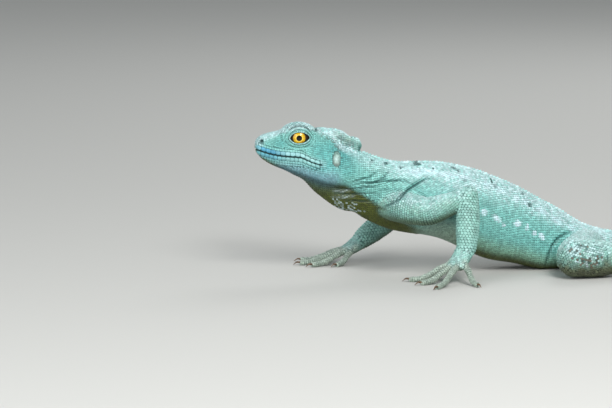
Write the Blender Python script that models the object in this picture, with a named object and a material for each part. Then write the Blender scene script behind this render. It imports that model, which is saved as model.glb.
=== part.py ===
"""Green basilisk (adult female) at life size, as a still museum model.

The head points to -X, its left side to -Y, the back to +Z, and the floor is Z = 0.
The tables are in millimetres and the Blender objects in metres.

Head, neck, torso and tail are one long body, lofted through upright cross-sections
and parted with thin gaps. Places on it are given as (behind, across, height):
the distance behind the tip of the snout along the spine's plan, the distance
across from the middle plane, positive on the animal's right, and the height.
Legs and toes are tapered tubes along short paths. Each part is trimmed by what
it grows from, so that they meet face to face.
"""

import math

import bmesh
import bpy
import numpy as np
from mathutils import Matrix, Vector

MM = 0.001
GAP = 0.3

# Where the parts of the long body end, behind the snout
HEAD_END = 50
NECK_END = 76
TORSO_END = 172
TAIL_END = 625
# The lengths that follow the head: name, end, spacing of the sections and sides of each
LENGTHS = [
    ("neck", NECK_END, 3.2, 28), ("torso", TORSO_END, 5, 28), ("tail_base", 262, 8, 20),
    ("tail_middle", 382, 12, 14), ("tail_rear", 500, 13, 12), ("tail_tip", TAIL_END, 14, 8),
]
HEAD_SIDES = 30

# Plan of the spine: the snout's place, and the way the spine runs, in degrees from +X
SNOUT = (-107.3, 12.4)
HEADING = [
    (0, -12), (46, -12), (72, 0), (172, 0), (250, 11), (330, 5),
    (430, -20), (540, -8), (625, 18),
]

# Heights of the back and of the underside, and half of the width
BACK = [
    (0, 66.6), (0.5, 67.7), (3.2, 69.9), (11, 72), (22, 74.6), (29, 73.4), (41, 68), (46, 64.8), (52, 61.8),
    (73, 55.6), (88, 55.4), (112, 50.7), (120, 47.5), (131, 42.9), (148, 33.6), (154, 30.4), (170, 21),
    (184, 17.2), (200, 15.6), (400, 7), (625, 1.5),
]
UNDERSIDE = [
    (0, 64.6), (0.5, 61.8), (1.2, 60.3), (6.3, 56), (14, 52.6), (28, 47.2), (36, 44.6), (45, 43.2),
    (50, 40.5), (64, 30.5), (72, 24.5), (80, 20.2), (92, 17.2), (119, 5.4), (131, 3.2), (139, 1.2),
    (146, -0.35), (625, -0.25),
]
HALF_WIDTH = [
    (0, 1.3), (0.5, 2.6), (3.2, 4.9), (11, 7.2), (29, 11.3), (40, 12.5), (45, 11.9), (50, 10.6), (57, 9.8),
    (66, 10.6), (76, 13.4), (86, 15.2), (116, 17.2), (130, 16.6), (166, 11.6), (180, 9.2), (270, 5.4),
    (480, 2.1), (625, 0.7),
]
# Share of the height at which the body is widest, and how square its upper and lower halves are
WIDEST = [
    (0, 0.5), (8, 0.42), (22, 0.38), (40, 0.34), (56, 0.5), (90, 0.45), (150, 0.4), (200, 0.46), (625, 0.5),
]
UPPER_FULLNESS = [
    (0, 2), (6, 2.7), (20, 2.7), (34, 2.2), (50, 1.9), (80, 1.75), (165, 1.7), (200, 1.7), (625, 1.9),
]
LOWER_FULLNESS = [(0, 2), (20, 2.1), (50, 2), (100, 2.1), (150, 2.5), (180, 2.3), (625, 2)]

# Swellings and hollows of the head: behind, height, reach along, reach up, rise, and
# the share of the half-width inside which they fade out
LUMPS = [
    ("cheek", 37.0, 52.5, 7.0, 5.0, 1.0, 0.3),
    ("lore", 12.0, 66.0, 4.0, 2.8, -0.7, 0.3),
    ("temple", 33.5, 66.5, 4.5, 3.6, -0.8, 0.3),
    ("snout_edge", 7.0, 70.0, 5.0, 1.6, 0.5, 0.35),
]

# The mouth
MOUTH_LINE = [
    (-2, 63.6), (1.4, 62.8), (10.2, 60.6), (14.7, 60.1), (22.8, 59.7), (25.8, 58.6), (29.3, 57.2),
    (34, 55.9),
]
MOUTH_CORNER = 34
JAW_HINGE = [(39.0, 51.5), (43.5, 46.5), (45.5, 40.0)]
LIP_RADIUS = 0.95
LIP_PROUD = 0.4
LIP_OFFSET = 1.1

# Eyes, nostrils and ears
EYE_BEHIND, EYE_ACROSS, EYE_HEIGHT = 22.2, 5.0, 69.3
EYE_RADII = (5.2, 4.2, 4.9)
LID_THICKNESS = 0.75
EYE_OPENING = (4.6, 3.2)
EYE_TILT = math.radians(4)
BROW_CENTRE = (21.6, 4.3, 69.5)
BROW_RADII = (9.6, 4.8, 6.75)
NOSTRIL_BEHIND, NOSTRIL_HEIGHT = 3.4, 67.3
NOSTRIL_RADII = (1.0, 0.75, 0.75)
EAR_BEHIND, EAR_HEIGHT = 40.8, 59.0
EAR_RADII = (2.2, 3.8)
EAR_DEPTH = 0.8
EAR_PROUD = 0.5

# The small crest on the back of the head: upper edge, lower edge, half of its thickness and its lean
CREST_TOP = [
    (27, 73.2), (31, 73.8), (34.6, 73.8), (37.6, 73.6), (41.1, 73.1), (43.7, 72.2), (45.4, 71.1),
    (47.6, 69.5), (49.7, 69.4), (51.5, 68.8), (52.8, 67.2), (53.4, 65.2),
]
CREST_BOTTOM = [(27, 69), (40, 62), (47, 58.5), (50.5, 59.5), (52.0, 61.8), (53.0, 63.2), (53.4, 64.4)]
CREST_HALF = [(27, 1.0), (31, 2.6), (38, 3.6), (45, 3.0), (49, 2.2), (52, 1.9), (53.4, 0.8)]
CREST_LEAN = [(27, 0), (44, 0), (53.4, -1.3)]

# The loose throat that hangs below the jaw and neck
THROAT_BOTTOM = [
    (14, 52.8), (19, 50), (23.5, 47.8), (30.5, 40.8), (45, 31.8), (49.5, 31.2), (53, 28.8), (68, 22),
    (82, 19),
]
THROAT_HALF = [(14, 1.2), (19, 3.8), (27, 5.2), (40, 5.8), (56, 6.4), (72, 7.6), (82, 6.0)]
THROAT_RISE = 16

# Legs: where each path runs (x, y, height), and the tube's radii across and along its flat side
LEFT_ARM = {
    "shoulder": [(-41, -6, 35.2), (-36.2, -14, 34.4), (-27.5, -20.5, 33.6), (-17.4, -25, 36.9)],
    "elbow": (-7.2, -29, 42.6), "wrist": (-9.6, -34, 16.5), "knuckles": (-16.5, -39, 8.4),
}
RIGHT_ARM = {
    "shoulder": [(-41, 6, 35), (-38.8, 16, 33.4), (-31, 30, 29.5)],
    "elbow": (-23.5, 38.5, 28), "wrist": (-46.5, 34.5, 12.5), "knuckles": (-55.5, 31.5, 7.0),
}
LEFT_LEG = {
    "hip": [(60, -8, 11.2)],
    "knee": (45, -38.5, 10.6), "ankle": (83, -33.5, 7.4), "knuckles": (79, -44, 4.4),
}
RIGHT_LEG = {
    "hip": [(60, 8, 11.2)],
    "knee": (48.5, 39, 10.6), "ankle": (86.5, 34, 7.4), "knuckles": (84, 44.5, 4.4),
}
UPPER_ARM_RADII = [(0, 7.6), (0.3, 7.4), (0.5, 7.0), (0.7, 6.0), (0.88, 4.8), (1, 4.4)]
FOREARM_RADII = [(0, 4.3), (0.25, 5.3), (0.5, 5.9), (0.75, 5.6), (1, 4.8)]
THIGH_RADII = [(0, 8.6), (0.35, 9.4), (0.75, 9.6), (1, 9.3)]
SHIN_RADII = [(0, 8.6), (0.2, 9.0), (0.4, 8.4), (0.58, 6.4), (0.78, 4.6), (1, 4.0)]
HAND_RADII = [(0, 4.4), (0.45, 5.2), (1, 5.4)]
FOOT_RADII = [(0, 4.0), (0.45, 5.0), (1, 5.6)]
FOREARM_FLATNESS = 0.9
PALM_FLATNESS = [(0, 0.9), (0.5, 0.64), (1, 0.46)]

# Tips of the toes (x, y), first toe first, and the share of the palm's width where each starts
LEFT_FINGERS = [(-26, -27), (-37.5, -31.5), (-34.5, -43), (-30, -56.5), (-9.5, -54)]
RIGHT_FINGERS = [(-63, 22), (-75, 24), (-79.5, 31.5), (-77, 41.5), (-64, 47)]
LEFT_TOES = [(65, -49), (63.5, -61), (67.5, -72.5), (79, -81), (97, -52)]
RIGHT_TOES = [(71.5, 51), (73, 62.5), (79, 73), (91, 80.5), (102.5, 50)]
TOE_STARTS = (0.8, 0.45, 0.05, -0.35, -0.75)
FINGER_RADIUS = 1.55
TOE_RADIUS = 1.75
TIP_SHARE = 0.8
TOE_ARCH = 1.6
TIP_HEIGHT = 1.15
CLAW_LENGTH = 4.2
CLAW_RADIUS = 0.8

SKIN = {
    "head_skin": ((0.17, 0.52, 0.46), 0.45),
    "body_skin": ((0.22, 0.60, 0.50), 0.5),
    "tail_skin": ((0.34, 0.62, 0.54), 0.55),
    "limb_skin": ((0.30, 0.52, 0.40), 0.55),
    "throat_skin": ((0.16, 0.22, 0.07), 0.55),
    "eye": ((0.62, 0.42, 0.03), 0.08),
    "claw_horn": ((0.17, 0.10, 0.06), 0.35),
}


def smooth(knots):
    """A function that runs through the knots and doesn't overshoot between them."""
    x, y = (np.array(column, float) for column in zip(*knots))
    slope = np.diff(y) / np.diff(x)
    before, after = slope[:-1], slope[1:]
    same_way = before * after > 0
    inner = np.where(same_way, 2 * before * after / np.where(same_way, before + after, 1), 0)
    tangent = np.concatenate([slope[:1], inner, slope[-1:]])

    def value(at):
        at = np.clip(at, x[0], x[-1])
        i = np.clip(np.searchsorted(x, at, side="right") - 1, 0, len(x) - 2)
        width = x[i + 1] - x[i]
        t = (at - x[i]) / width
        return (
            y[i] * (1 + 2 * t) * (1 - t) ** 2
            + y[i + 1] * t * t * (3 - 2 * t)
            + width * t * (1 - t) * (tangent[i] * (1 - t) - tangent[i + 1] * t)
        )

    return value


back, underside, half_width = smooth(BACK), smooth(UNDERSIDE), smooth(HALF_WIDTH)
widest, upper_fullness, lower_fullness = smooth(WIDEST), smooth(UPPER_FULLNESS), smooth(LOWER_FULLNESS)
heading, mouth_height = smooth(HEADING), smooth(MOUTH_LINE)
PLAN_STEP = 0.5
PLAN_BEHIND = np.arange(0, TAIL_END + 2, PLAN_STEP)
PLAN_TURN = np.radians(heading(PLAN_BEHIND + PLAN_STEP / 2))
PLAN_X = SNOUT[0] + np.concatenate([[0], np.cumsum(np.cos(PLAN_TURN))[:-1]]) * PLAN_STEP
PLAN_Y = SNOUT[1] + np.concatenate([[0], np.cumsum(np.sin(PLAN_TURN))[:-1]]) * PLAN_STEP


def across_way(behind):
    """The level direction to the animal's right at this place on the spine."""
    turn = math.radians(float(heading(behind)))
    return Vector((-math.sin(turn), math.cos(turn), 0))


def place(behind, across, height):
    """A point of the body as a world point in millimetres."""
    x, y = np.interp(behind, PLAN_BEHIND, PLAN_X), np.interp(behind, PLAN_BEHIND, PLAN_Y)
    if behind < 0:
        turn = math.radians(HEADING[0][1])
        x, y = x + behind * math.cos(turn), y + behind * math.sin(turn)
    return Vector((float(x), float(y), height)) + across_way(behind) * across


def fade(value, low, high):
    """0 below low, 1 above high, and a smooth step between them."""
    t = min(max((value - low) / (high - low), 0), 1)
    return t * t * (3 - 2 * t)


def lump_rise(behind, across, height, half):
    """How far the head's swellings and hollows move this point outwards."""
    rise = 0.0
    for _, lump_behind, lump_height, along, up, amount, inner in LUMPS:
        near = ((behind - lump_behind) / along) ** 2 + ((height - lump_height) / up) ** 2
        rise += amount * math.exp(-near) * fade(abs(across) / half, inner, inner + 0.35)
    return rise


def section(behind, angle, grow=0.0):
    """A point of the long body's surface as (across, height): on the right at 0 and on top at 90 degrees."""
    top, bottom, half = float(back(behind)), float(underside(behind)), float(half_width(behind))
    middle = bottom + float(widest(behind)) * (top - bottom)
    upper = math.sin(angle) > 0
    power = 2 / float(upper_fullness(behind) if upper else lower_fullness(behind))
    reach = top - middle if upper else middle - bottom
    sideways = math.copysign(abs(math.cos(angle)) ** power, math.cos(angle))
    upward = math.copysign(abs(math.sin(angle)) ** power, math.sin(angle))
    across, height = sideways * half, middle + upward * reach
    out = Vector((sideways * reach, upward * half))
    if out.length > 0:
        out.normalize()
        rise = grow + (lump_rise(behind, across, height, half) if behind < HEAD_END else 0)
        across, height = across + out.x * rise, height + out.y * rise
    return across, height


def side_at(behind, height):
    """How far across the long body's side is at this height."""
    angles = np.linspace(-math.pi / 2, math.pi / 2, 121)
    points = [section(behind, float(a)) for a in angles]
    return float(np.interp(height, [p[1] for p in points], [p[0] for p in points]))


def new_object(name, mesh):
    """Links an object that holds this mesh."""
    made = bpy.data.objects.new(name, mesh)
    bpy.context.scene.collection.objects.link(made)
    return made


def mesh_object(name, build):
    """An object whose mesh the build function makes in a bmesh, in millimetres."""
    work = bmesh.new()
    build(work)
    bmesh.ops.recalc_face_normals(work, faces=work.faces)
    bmesh.ops.scale(work, vec=(MM, MM, MM), verts=work.verts)
    mesh = bpy.data.meshes.new(name)
    work.to_mesh(mesh)
    work.free()
    return new_object(name, mesh)


def loft(name, rings):
    """One closed body through rings of points that have the same number of points."""

    def build(work):
        rows = [[work.verts.new(point) for point in ring] for ring in rings]
        for row, following in zip(rows, rows[1:]):
            for i in range(len(row)):
                j = (i + 1) % len(row)
                work.faces.new((row[i], row[j], following[j], following[i]))
        for row in (rows[0], rows[-1]):
            middle = work.verts.new(sum((v.co for v in row), Vector()) / len(row))
            for i in range(len(row)):
                work.faces.new((row[i], row[(i + 1) % len(row)], middle))

    return mesh_object(name, build)


def body_length(name, start, end, spacing, sides, grow=0.0):
    """A length of the long body, with sections at about this spacing."""
    return body_rings(name, np.linspace(start, end, round((end - start) / spacing) + 1), sides, grow)


def body_rings(name, stations, sides, grow=0.0):
    """The long body lofted through upright sections at these distances behind the snout."""
    angles = [2 * math.pi * (k + 0.5) / sides for k in range(sides)]
    rings = [[place(float(s), *section(float(s), a, grow)) for a in angles] for s in stations]
    return loft(name, rings)


def flat_prism(name, outline, start, end):
    """A prism whose outline is in (behind, height), and which runs across the straight part of the body."""

    def build(work):
        rows = [[work.verts.new(place(s, across, h)) for s, h in outline] for across in (start, end)]
        for row in rows:
            work.faces.new(row)
        for i in range(len(outline)):
            j = (i + 1) % len(outline)
            work.faces.new((rows[0][i], rows[0][j], rows[1][j], rows[1][i]))

    return mesh_object(name, build)


def ellipsoid(name, centre, radii, segments=18, rows=12):
    """An ellipsoid that is turned with the head, from a sphere primitive."""
    turn = Matrix.Rotation(math.radians(HEADING[0][1]), 4, "Z")
    to_place = Matrix.Translation(centre) @ turn @ Matrix.Diagonal((*radii, 1))

    def build(work):
        bmesh.ops.create_uvsphere(work, u_segments=segments, v_segments=rows, radius=1)
        bmesh.ops.rotate(work, matrix=Matrix.Rotation(math.pi / 2, 3, "X"), verts=work.verts)
        bmesh.ops.transform(work, matrix=to_place, verts=work.verts)

    return mesh_object(name, build)


def tube(name, points, radius, sides, rings, flatness=1.0, flat_way=Vector((0, 0, 1)), grow=0.0, tip=1.0):
    """A tapered tube with round ends along a smooth path.

    radius and flatness are numbers, or functions of the share of the length.
    """
    points = [Vector(p) for p in points]
    lengths = np.concatenate([[0], np.cumsum([(b - a).length for a, b in zip(points, points[1:])])])
    axes = [smooth(list(zip(lengths, [p[i] for p in points]))) for i in range(3)]
    length = float(lengths[-1])

    def at(distance):
        inside = min(max(distance, 0), length)
        point = Vector([float(axis(inside)) for axis in axes])
        ahead = Vector([float(axis(min(inside + 0.05, length))) for axis in axes])
        behind = Vector([float(axis(max(inside - 0.05, 0))) for axis in axes])
        way = (ahead - behind).normalized()
        return point + way * (distance - inside), way

    wide = at(0)[1].cross(flat_way).normalized()

    def ring(distance, share, shrink):
        nonlocal wide
        centre, way = at(distance)
        wide = (wide - way * wide.dot(way)).normalized()
        thick = wide.cross(way).normalized()
        here = radius(share) if callable(radius) else radius
        flat = flatness(share) if callable(flatness) else flatness
        across, up = (float(here) + grow) * shrink, (float(here) * float(flat) + grow) * shrink
        turns = [2 * math.pi * (k + 0.5) / sides for k in range(sides)]
        return [centre + wide * math.cos(t) * across + thick * math.sin(t) * up for t in turns]

    ends = [float(radius(share) if callable(radius) else radius) * 0.9 + grow for share in (0, 1)]
    rounding = [(math.sin(t), math.cos(t)) for t in (math.radians(72), math.radians(38))]
    rows = [ring(-ends[0] * out, 0, size) for out, size in rounding]
    rows += [ring(length * k / (rings - 1), k / (rings - 1), 1) for k in range(rings)]
    rows += [ring(length + ends[1] * tip * out, 1, size) for out, size in reversed(rounding)]
    return loft(name, rows)


def keep_largest(mesh):
    """Leaves only the largest closed surface of a mesh, as a cut can drop scraps and seal hollows."""
    work = bmesh.new()
    work.from_mesh(mesh)
    unseen, shells = set(work.verts), []
    while unseen:
        shell, edge = set(), [next(iter(unseen))]
        while edge:
            vert = edge.pop()
            if vert in shell:
                continue
            shell.add(vert)
            edge += [e.other_vert(vert) for e in vert.link_edges]
        unseen -= shell
        shells.append(shell)
    shells.sort(key=lambda shell: sum(f.calc_area() for f in {f for v in shell for f in v.link_faces}))
    bmesh.ops.delete(work, geom=[v for shell in shells[:-1] for v in shell], context="VERTS")
    work.to_mesh(mesh)
    work.free()


def combine(target, others, operation, solver="EXACT"):
    """Applies one Boolean of the target with all the others, which are then removed."""
    group = bpy.data.collections.new("others")
    for other in others:
        group.objects.link(other)
    modifier = target.modifiers.new(operation.lower(), "BOOLEAN")
    modifier.operation = operation
    modifier.solver = solver
    modifier.operand_type = "COLLECTION"
    modifier.collection = group
    graph = bpy.context.evaluated_depsgraph_get()
    graph.update()
    mesh = bpy.data.meshes.new_from_object(target.evaluated_get(graph))
    target.modifiers.clear()
    target.data = mesh
    for other in others:
        bpy.data.objects.remove(other)
    bpy.data.collections.remove(group)
    keep_largest(mesh)
    return target


def floor_block():
    """Everything below the floor, to give what stands on it its small flats."""

    to_place = Matrix.Translation((200, 0, -10)) @ Matrix.Diagonal((1000, 600, 20, 1))

    def build(work):
        bmesh.ops.create_cube(work, size=1)
        bmesh.ops.transform(work, matrix=to_place, verts=work.verts)

    return mesh_object("below_floor", build)


def finish(part, skin, parent):
    """Gives the part its material, its shading and its place under the model's origin."""
    colour, roughness = SKIN[skin]
    material = bpy.data.materials.get(skin) or bpy.data.materials.new(skin)
    material.use_nodes = True
    shader = material.node_tree.nodes["Principled BSDF"]
    shader.inputs["Base Color"].default_value = (*colour, 1)
    shader.inputs["Roughness"].default_value = roughness
    shader.inputs["Metallic"].default_value = 0
    part.data.materials.clear()
    part.data.materials.append(material)
    part.data.shade_smooth()
    part.data.set_sharp_from_angle(angle=math.radians(40))
    part.parent = parent
    return part


def head_stations():
    """Sections of the head, close together at the blunt tip of the snout."""
    return [0, 0.5, 1.2, 2.2, 3.4, 4.9] + list(np.arange(6.7, HEAD_END - 1, 1.95)) + [HEAD_END - GAP / 2]


def lip(name, offset):
    """The rim along one jaw, round the snout from one corner of the mouth to the other."""

    def rim(s, side):
        height = float(mouth_height(s)) + offset
        return place(s, side * (side_at(s, height) + LIP_PROUD - LIP_RADIUS), height)

    stations = np.linspace(MOUTH_CORNER - 1, 2, 12)
    middle = place(0.9 if offset > 0 else 1.6, 0, float(mouth_height(0.9)) + offset)
    points = [rim(s, -1) for s in stations] + [middle] + [rim(s, 1) for s in stations[::-1]]
    return tube(name, points, LIP_RADIUS, 6, 22, tip=0.5)


def eye_frame(side):
    """The centre of one eyeball. side is -1 on the left and 1 on the right."""
    return place(EYE_BEHIND, side * EYE_ACROSS, EYE_HEIGHT)


def almond(side):
    """The opening between the lids, as a prism through one side of the head."""
    half_long, half_high = EYE_OPENING
    outline = []
    for k in range(16):
        turn = 2 * math.pi * k / 16
        along, up = math.cos(turn), math.sin(turn)
        up *= 1 - 0.35 * along ** 4
        along, up = half_long * along, half_high * up
        outline.append((
            EYE_BEHIND + along * math.cos(EYE_TILT) + up * math.sin(EYE_TILT),
            EYE_HEIGHT - along * math.sin(EYE_TILT) + up * math.cos(EYE_TILT),
        ))
    return flat_prism("almond", outline, side * EYE_ACROSS, side * (EYE_ACROSS + 10))


def jaw_region(shift):
    """What lies below the line of the mouth and in front of the jaw's hinge, moved up by shift."""
    stations = np.linspace(-2, MOUTH_CORNER, 19)
    line = [(float(s), float(mouth_height(s)) + shift) for s in stations]
    hinge = [(s + shift, h + shift) for s, h in JAW_HINGE]
    return flat_prism("jaw_region", line + hinge + [(JAW_HINGE[-1][0] + shift, 20), (-2, 20)], -30, 30)


def grown(radii, by):
    return tuple(radius + by for radius in radii)


def head_whole(name):
    """Head and lower jaw in one piece, with lips, lids, nostrils and ears."""
    whole = body_rings(name, head_stations(), HEAD_SIDES)
    brow_behind, brow_across, brow_height = BROW_CENTRE
    nostril_across = side_at(NOSTRIL_BEHIND, NOSTRIL_HEIGHT)
    ear_across = side_at(EAR_BEHIND, EAR_HEIGHT) + EAR_PROUD
    additions = [lip("upper_lip", LIP_OFFSET), lip("lower_lip", -LIP_OFFSET)]
    cuts = []
    for side in (-1, 1):
        brow = place(brow_behind, side * brow_across, brow_height)
        nostril = place(NOSTRIL_BEHIND, side * nostril_across, NOSTRIL_HEIGHT)
        ear = place(EAR_BEHIND, side * ear_across, EAR_HEIGHT)
        additions.append(ellipsoid("brow", brow, BROW_RADII, 16, 10))
        additions.append(ellipsoid("lid", eye_frame(side), grown(EYE_RADII, GAP + LID_THICKNESS), 16, 10))
        cuts.append(ellipsoid("socket", eye_frame(side), grown(EYE_RADII, GAP), 16, 10))
        cuts.append(ellipsoid("nostril", nostril, NOSTRIL_RADII, 8, 6))
        cuts.append(ellipsoid("ear", ear, (EAR_RADII[0], EAR_DEPTH + EAR_PROUD, EAR_RADII[1]), 12, 8))
        cuts.append(almond(side))
    combine(whole, additions, "UNION")
    return combine(whole, cuts, "DIFFERENCE")


def make_head():
    """The head above the mouth, and the lower jaw."""
    head = combine(head_whole("head"), [jaw_region(GAP / 2)], "DIFFERENCE")
    jaw = combine(head_whole("lower_jaw"), [jaw_region(-GAP / 2)], "INTERSECT")
    return [head, jaw]


def make_eyes():
    """The two eyeballs."""
    sides = (("eye_left", -1), ("eye_right", 1))
    return [ellipsoid(name, eye_frame(side), EYE_RADII, 16, 10) for name, side in sides]


def head_cutter():
    """The head and neck grown by the gap, to trim what grows from them."""
    stations = [0, 0.5, 1.2, 3.4] + list(np.arange(6, 96, 3))
    return body_rings("head_cutter", stations, HEAD_SIDES, GAP)


def make_crest():
    """The thin crest on the back of the head, whose rear lobe stands out over the nape."""
    top, bottom = smooth(CREST_TOP), smooth(CREST_BOTTOM)
    half, lean = smooth(CREST_HALF), smooth(CREST_LEAN)
    rings = []
    for s in list(np.linspace(27, 47.6, 8)) + [49.5, 51, 52.2, 53, 53.4]:
        low, high, thick = float(bottom(s)), float(top(s)), float(half(s))
        ring = []
        for k in range(10):
            turn = 2 * math.pi * (k + 0.5) / 10
            height = (high + low) / 2 + math.sin(turn) * (high - low) / 2
            share = (height - low) / (high - low)
            across = math.cos(turn) * thick * (1.4 - 0.9 * share) + float(lean(s)) * share
            ring.append(place(s, across, height))
        rings.append(ring)
    return combine(loft("head_crest", rings), [head_cutter()], "DIFFERENCE")


def make_throat():
    """The loose skin below the jaw and neck, narrow at its lower edge."""
    bottom, half = smooth(THROAT_BOTTOM), smooth(THROAT_HALF)
    rings = []
    for s in np.linspace(14, 82, 18):
        low, wide = float(bottom(s)), float(half(s))
        ring = []
        for k in range(14):
            turn = 2 * math.pi * (k + 0.5) / 14
            share = (1 + math.sin(turn)) / 2
            across = math.cos(turn) * wide * (0.62 + 0.5 * share)
            ring.append(place(s, across, low + share * THROAT_RISE))
        rings.append(ring)
    arms = [upper_arm("arm_cutter", limb, GAP) for limb in (LEFT_ARM, RIGHT_ARM)]
    return combine(loft("throat", rings), [head_cutter(), *arms], "DIFFERENCE")


def make_trunk():
    """Neck, torso and the lengths of the tail, with small flats where they lie on the floor."""
    parts = []
    start = HEAD_END
    for name, end, spacing, sides in LENGTHS:
        last = end if end == TAIL_END else end - GAP / 2
        length = body_length(name, start + GAP / 2, last, spacing, sides)
        parts.append(length if name == "neck" else combine(length, [floor_block()], "DIFFERENCE"))
        start = end
    return parts


def limb_segment(name, points, radii, sides, rings, flatness=1.0, grow=0.0):
    """One length of a leg between two joints."""
    return tube(name, points, smooth(radii), sides, rings, flatness, Vector((0.6, -0.6, 0.5)), grow)


def upper_arm(name, limb, grow=0.0):
    """The upper arm, or a cutter of its shape."""
    return limb_segment(name, [*limb["shoulder"], limb["elbow"]], UPPER_ARM_RADII, 14, 10, 1.0, grow)


def forearm(name, limb, grow=0.0):
    """The forearm, or a cutter of its shape."""
    return limb_segment(name, [limb["elbow"], limb["wrist"]], FOREARM_RADII, 14, 8, FOREARM_FLATNESS, grow)


def thigh(name, limb, grow=0.0):
    """The thigh, or a cutter of its shape."""
    return limb_segment(name, [*limb["hip"], limb["knee"]], THIGH_RADII, 18, 8, 1.0, grow)


def shin(name, limb, grow=0.0):
    """The shin, or a cutter of its shape."""
    return limb_segment(name, [limb["knee"], limb["ankle"]], SHIN_RADII, 16, 8, 1.0, grow)


def palm(name, limb, radii, grow=0.0):
    """The hand or foot from the wrist or ankle to the knuckles, flat below."""
    start = Vector(limb["wrist"] if "wrist" in limb else limb["ankle"])
    end = Vector(limb["knuckles"])
    middle = start.lerp(end, 0.5) + Vector((0, 0, -0.4))
    return tube(name, [start, middle, end], smooth(radii), 12, 6, smooth(PALM_FLATNESS), grow=grow, tip=0.4)


def toe_path(limb, tip, start_share, side, width):
    """A toe from inside the palm, over a low arch, to its tip on the floor."""
    wrist = Vector(limb["wrist"] if "wrist" in limb else limb["ankle"])
    knuckles = Vector(limb["knuckles"])
    forward = (knuckles - wrist).normalized()
    across = forward.cross(Vector((0, 0, 1))).normalized() * -side
    root = knuckles + across * start_share * width - forward * (1.2 + 2.2 * abs(start_share))
    end = Vector((*tip, TIP_HEIGHT))
    first = root.lerp(end, 0.36)
    first.z = end.z + (root.z - end.z) * 0.42 + TOE_ARCH
    last = root.lerp(end, 0.74)
    last.z = 1.9
    return [root, first, last, end]


def toe_radius(radius):
    """A toe's radius along it, with its joints slightly thicker."""

    def at(share):
        joints = 0.07 * math.cos(share * 3 * 2 * math.pi)
        return radius * (1 - (1 - TIP_SHARE) * share) * (1 + joints)

    return at


def claw(name, path, radius, grow_from):
    """A claw that runs on from the toe's tip and curves down, trimmed by the toe."""
    way = (path[-1] - path[-2]).normalized()
    level = Vector((way.x, way.y, 0)).normalized()
    root = path[-1] - way * 0.6
    middle = path[-1] + level * CLAW_LENGTH * 0.5 + Vector((0, 0, 0.55))
    tip = path[-1] + level * CLAW_LENGTH + Vector((0, 0, -0.65))
    taper = smooth([(0, radius), (0.5, radius * 0.62), (1, 0.16)])
    made = tube(name, [root, middle, tip], taper, 6, 4)
    return combine(made, [grow_from], "DIFFERENCE")


def make_extremity(name, toe_word, limb, tips, palm_radii, radius, side, parent_cutter):
    """A hand or foot with its five toes in one piece, and the claws, which are pieces of their own."""
    width = palm_radii[-1][1] * 0.86
    base = palm(name, limb, palm_radii)
    paths = [toe_path(limb, tip, share, side, width) for tip, share in zip(tips, TOE_STARTS)]
    toes = [tube("toe", path, toe_radius(radius), 7, 8) for path in paths]
    combine(base, toes, "UNION")
    combine(base, [parent_cutter], "DIFFERENCE")
    combine(base, [floor_block()], "DIFFERENCE")
    claws = []
    for number, path in enumerate(paths, 1):
        toe = tube("toe", path, toe_radius(radius), 7, 8, grow=GAP)
        claws.append(claw(f"{toe_word}_{number}_claw", path, CLAW_RADIUS * radius / FINGER_RADIUS, toe))
    return base, claws


def torso_cutter():
    """The torso grown by the gap, to trim the legs' roots."""
    return body_length("torso_cutter", 58, 200, 5, 28, GAP)


def make_arm(side_name, limb, tips, side):
    """Upper arm, forearm, hand and claws of one side."""
    upper = combine(upper_arm(f"upper_arm_{side_name}", limb), [torso_cutter()], "DIFFERENCE")
    fore = combine(forearm(f"forearm_{side_name}", limb), [upper_arm("cutter", limb, GAP)], "DIFFERENCE")
    hand, claws = make_extremity(
        f"hand_{side_name}", f"finger_{side_name}", limb, tips, HAND_RADII, FINGER_RADIUS, side,
        forearm("cutter", limb, GAP),
    )
    return [upper, fore, hand], claws


def make_leg(side_name, limb, tips, side):
    """Thigh, shin, foot and claws of one side."""
    upper = combine(thigh(f"thigh_{side_name}", limb), [torso_cutter()], "DIFFERENCE")
    lower = combine(shin(f"shin_{side_name}", limb), [thigh("cutter", limb, GAP)], "DIFFERENCE")
    foot, claws = make_extremity(
        f"foot_{side_name}", f"toe_{side_name}", limb, tips, FOOT_RADII, TOE_RADIUS, side,
        shin("cutter", limb, GAP),
    )
    return [upper, lower, foot], claws


def clear_scene():
    """Removes what a new file holds."""
    for thing in list(bpy.data.objects):
        bpy.data.objects.remove(thing)


def centre_over_floor(parts, origin):
    """Moves the whole model so that the middle of its box is over the origin."""
    points = np.array([v.co for part in parts for v in part.data.vertices])
    low, high = points.min(axis=0), points.max(axis=0)
    origin.location = (-(low[0] + high[0]) / 2, -(low[1] + high[1]) / 2, 0)


def main():
    clear_scene()
    origin = bpy.data.objects.new("basilisk", None)
    bpy.context.scene.collection.objects.link(origin)
    trunk = make_trunk()
    skins = {
        "head_skin": [*make_head(), make_crest()], "throat_skin": [make_throat()], "eye": make_eyes(),
        "body_skin": trunk[:2], "tail_skin": trunk[2:], "limb_skin": [], "claw_horn": [],
    }
    for make, side_name, limb, tips, side in (
        (make_arm, "left", LEFT_ARM, LEFT_FINGERS, -1),
        (make_arm, "right", RIGHT_ARM, RIGHT_FINGERS, 1),
        (make_leg, "left", LEFT_LEG, LEFT_TOES, -1),
        (make_leg, "right", RIGHT_LEG, RIGHT_TOES, 1),
    ):
        segments, claws = make(side_name, limb, tips, side)
        skins["limb_skin"] += segments
        skins["claw_horn"] += claws
    parts = [finish(part, skin, origin) for skin, group in skins.items() for part in group]
    centre_over_floor(parts, origin)
    collection = bpy.data.collections.new("green_basilisk")
    bpy.context.scene.collection.children.link(collection)
    for part in parts:
        bpy.context.scene.collection.objects.unlink(part)
        collection.objects.link(part)


main()
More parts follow.
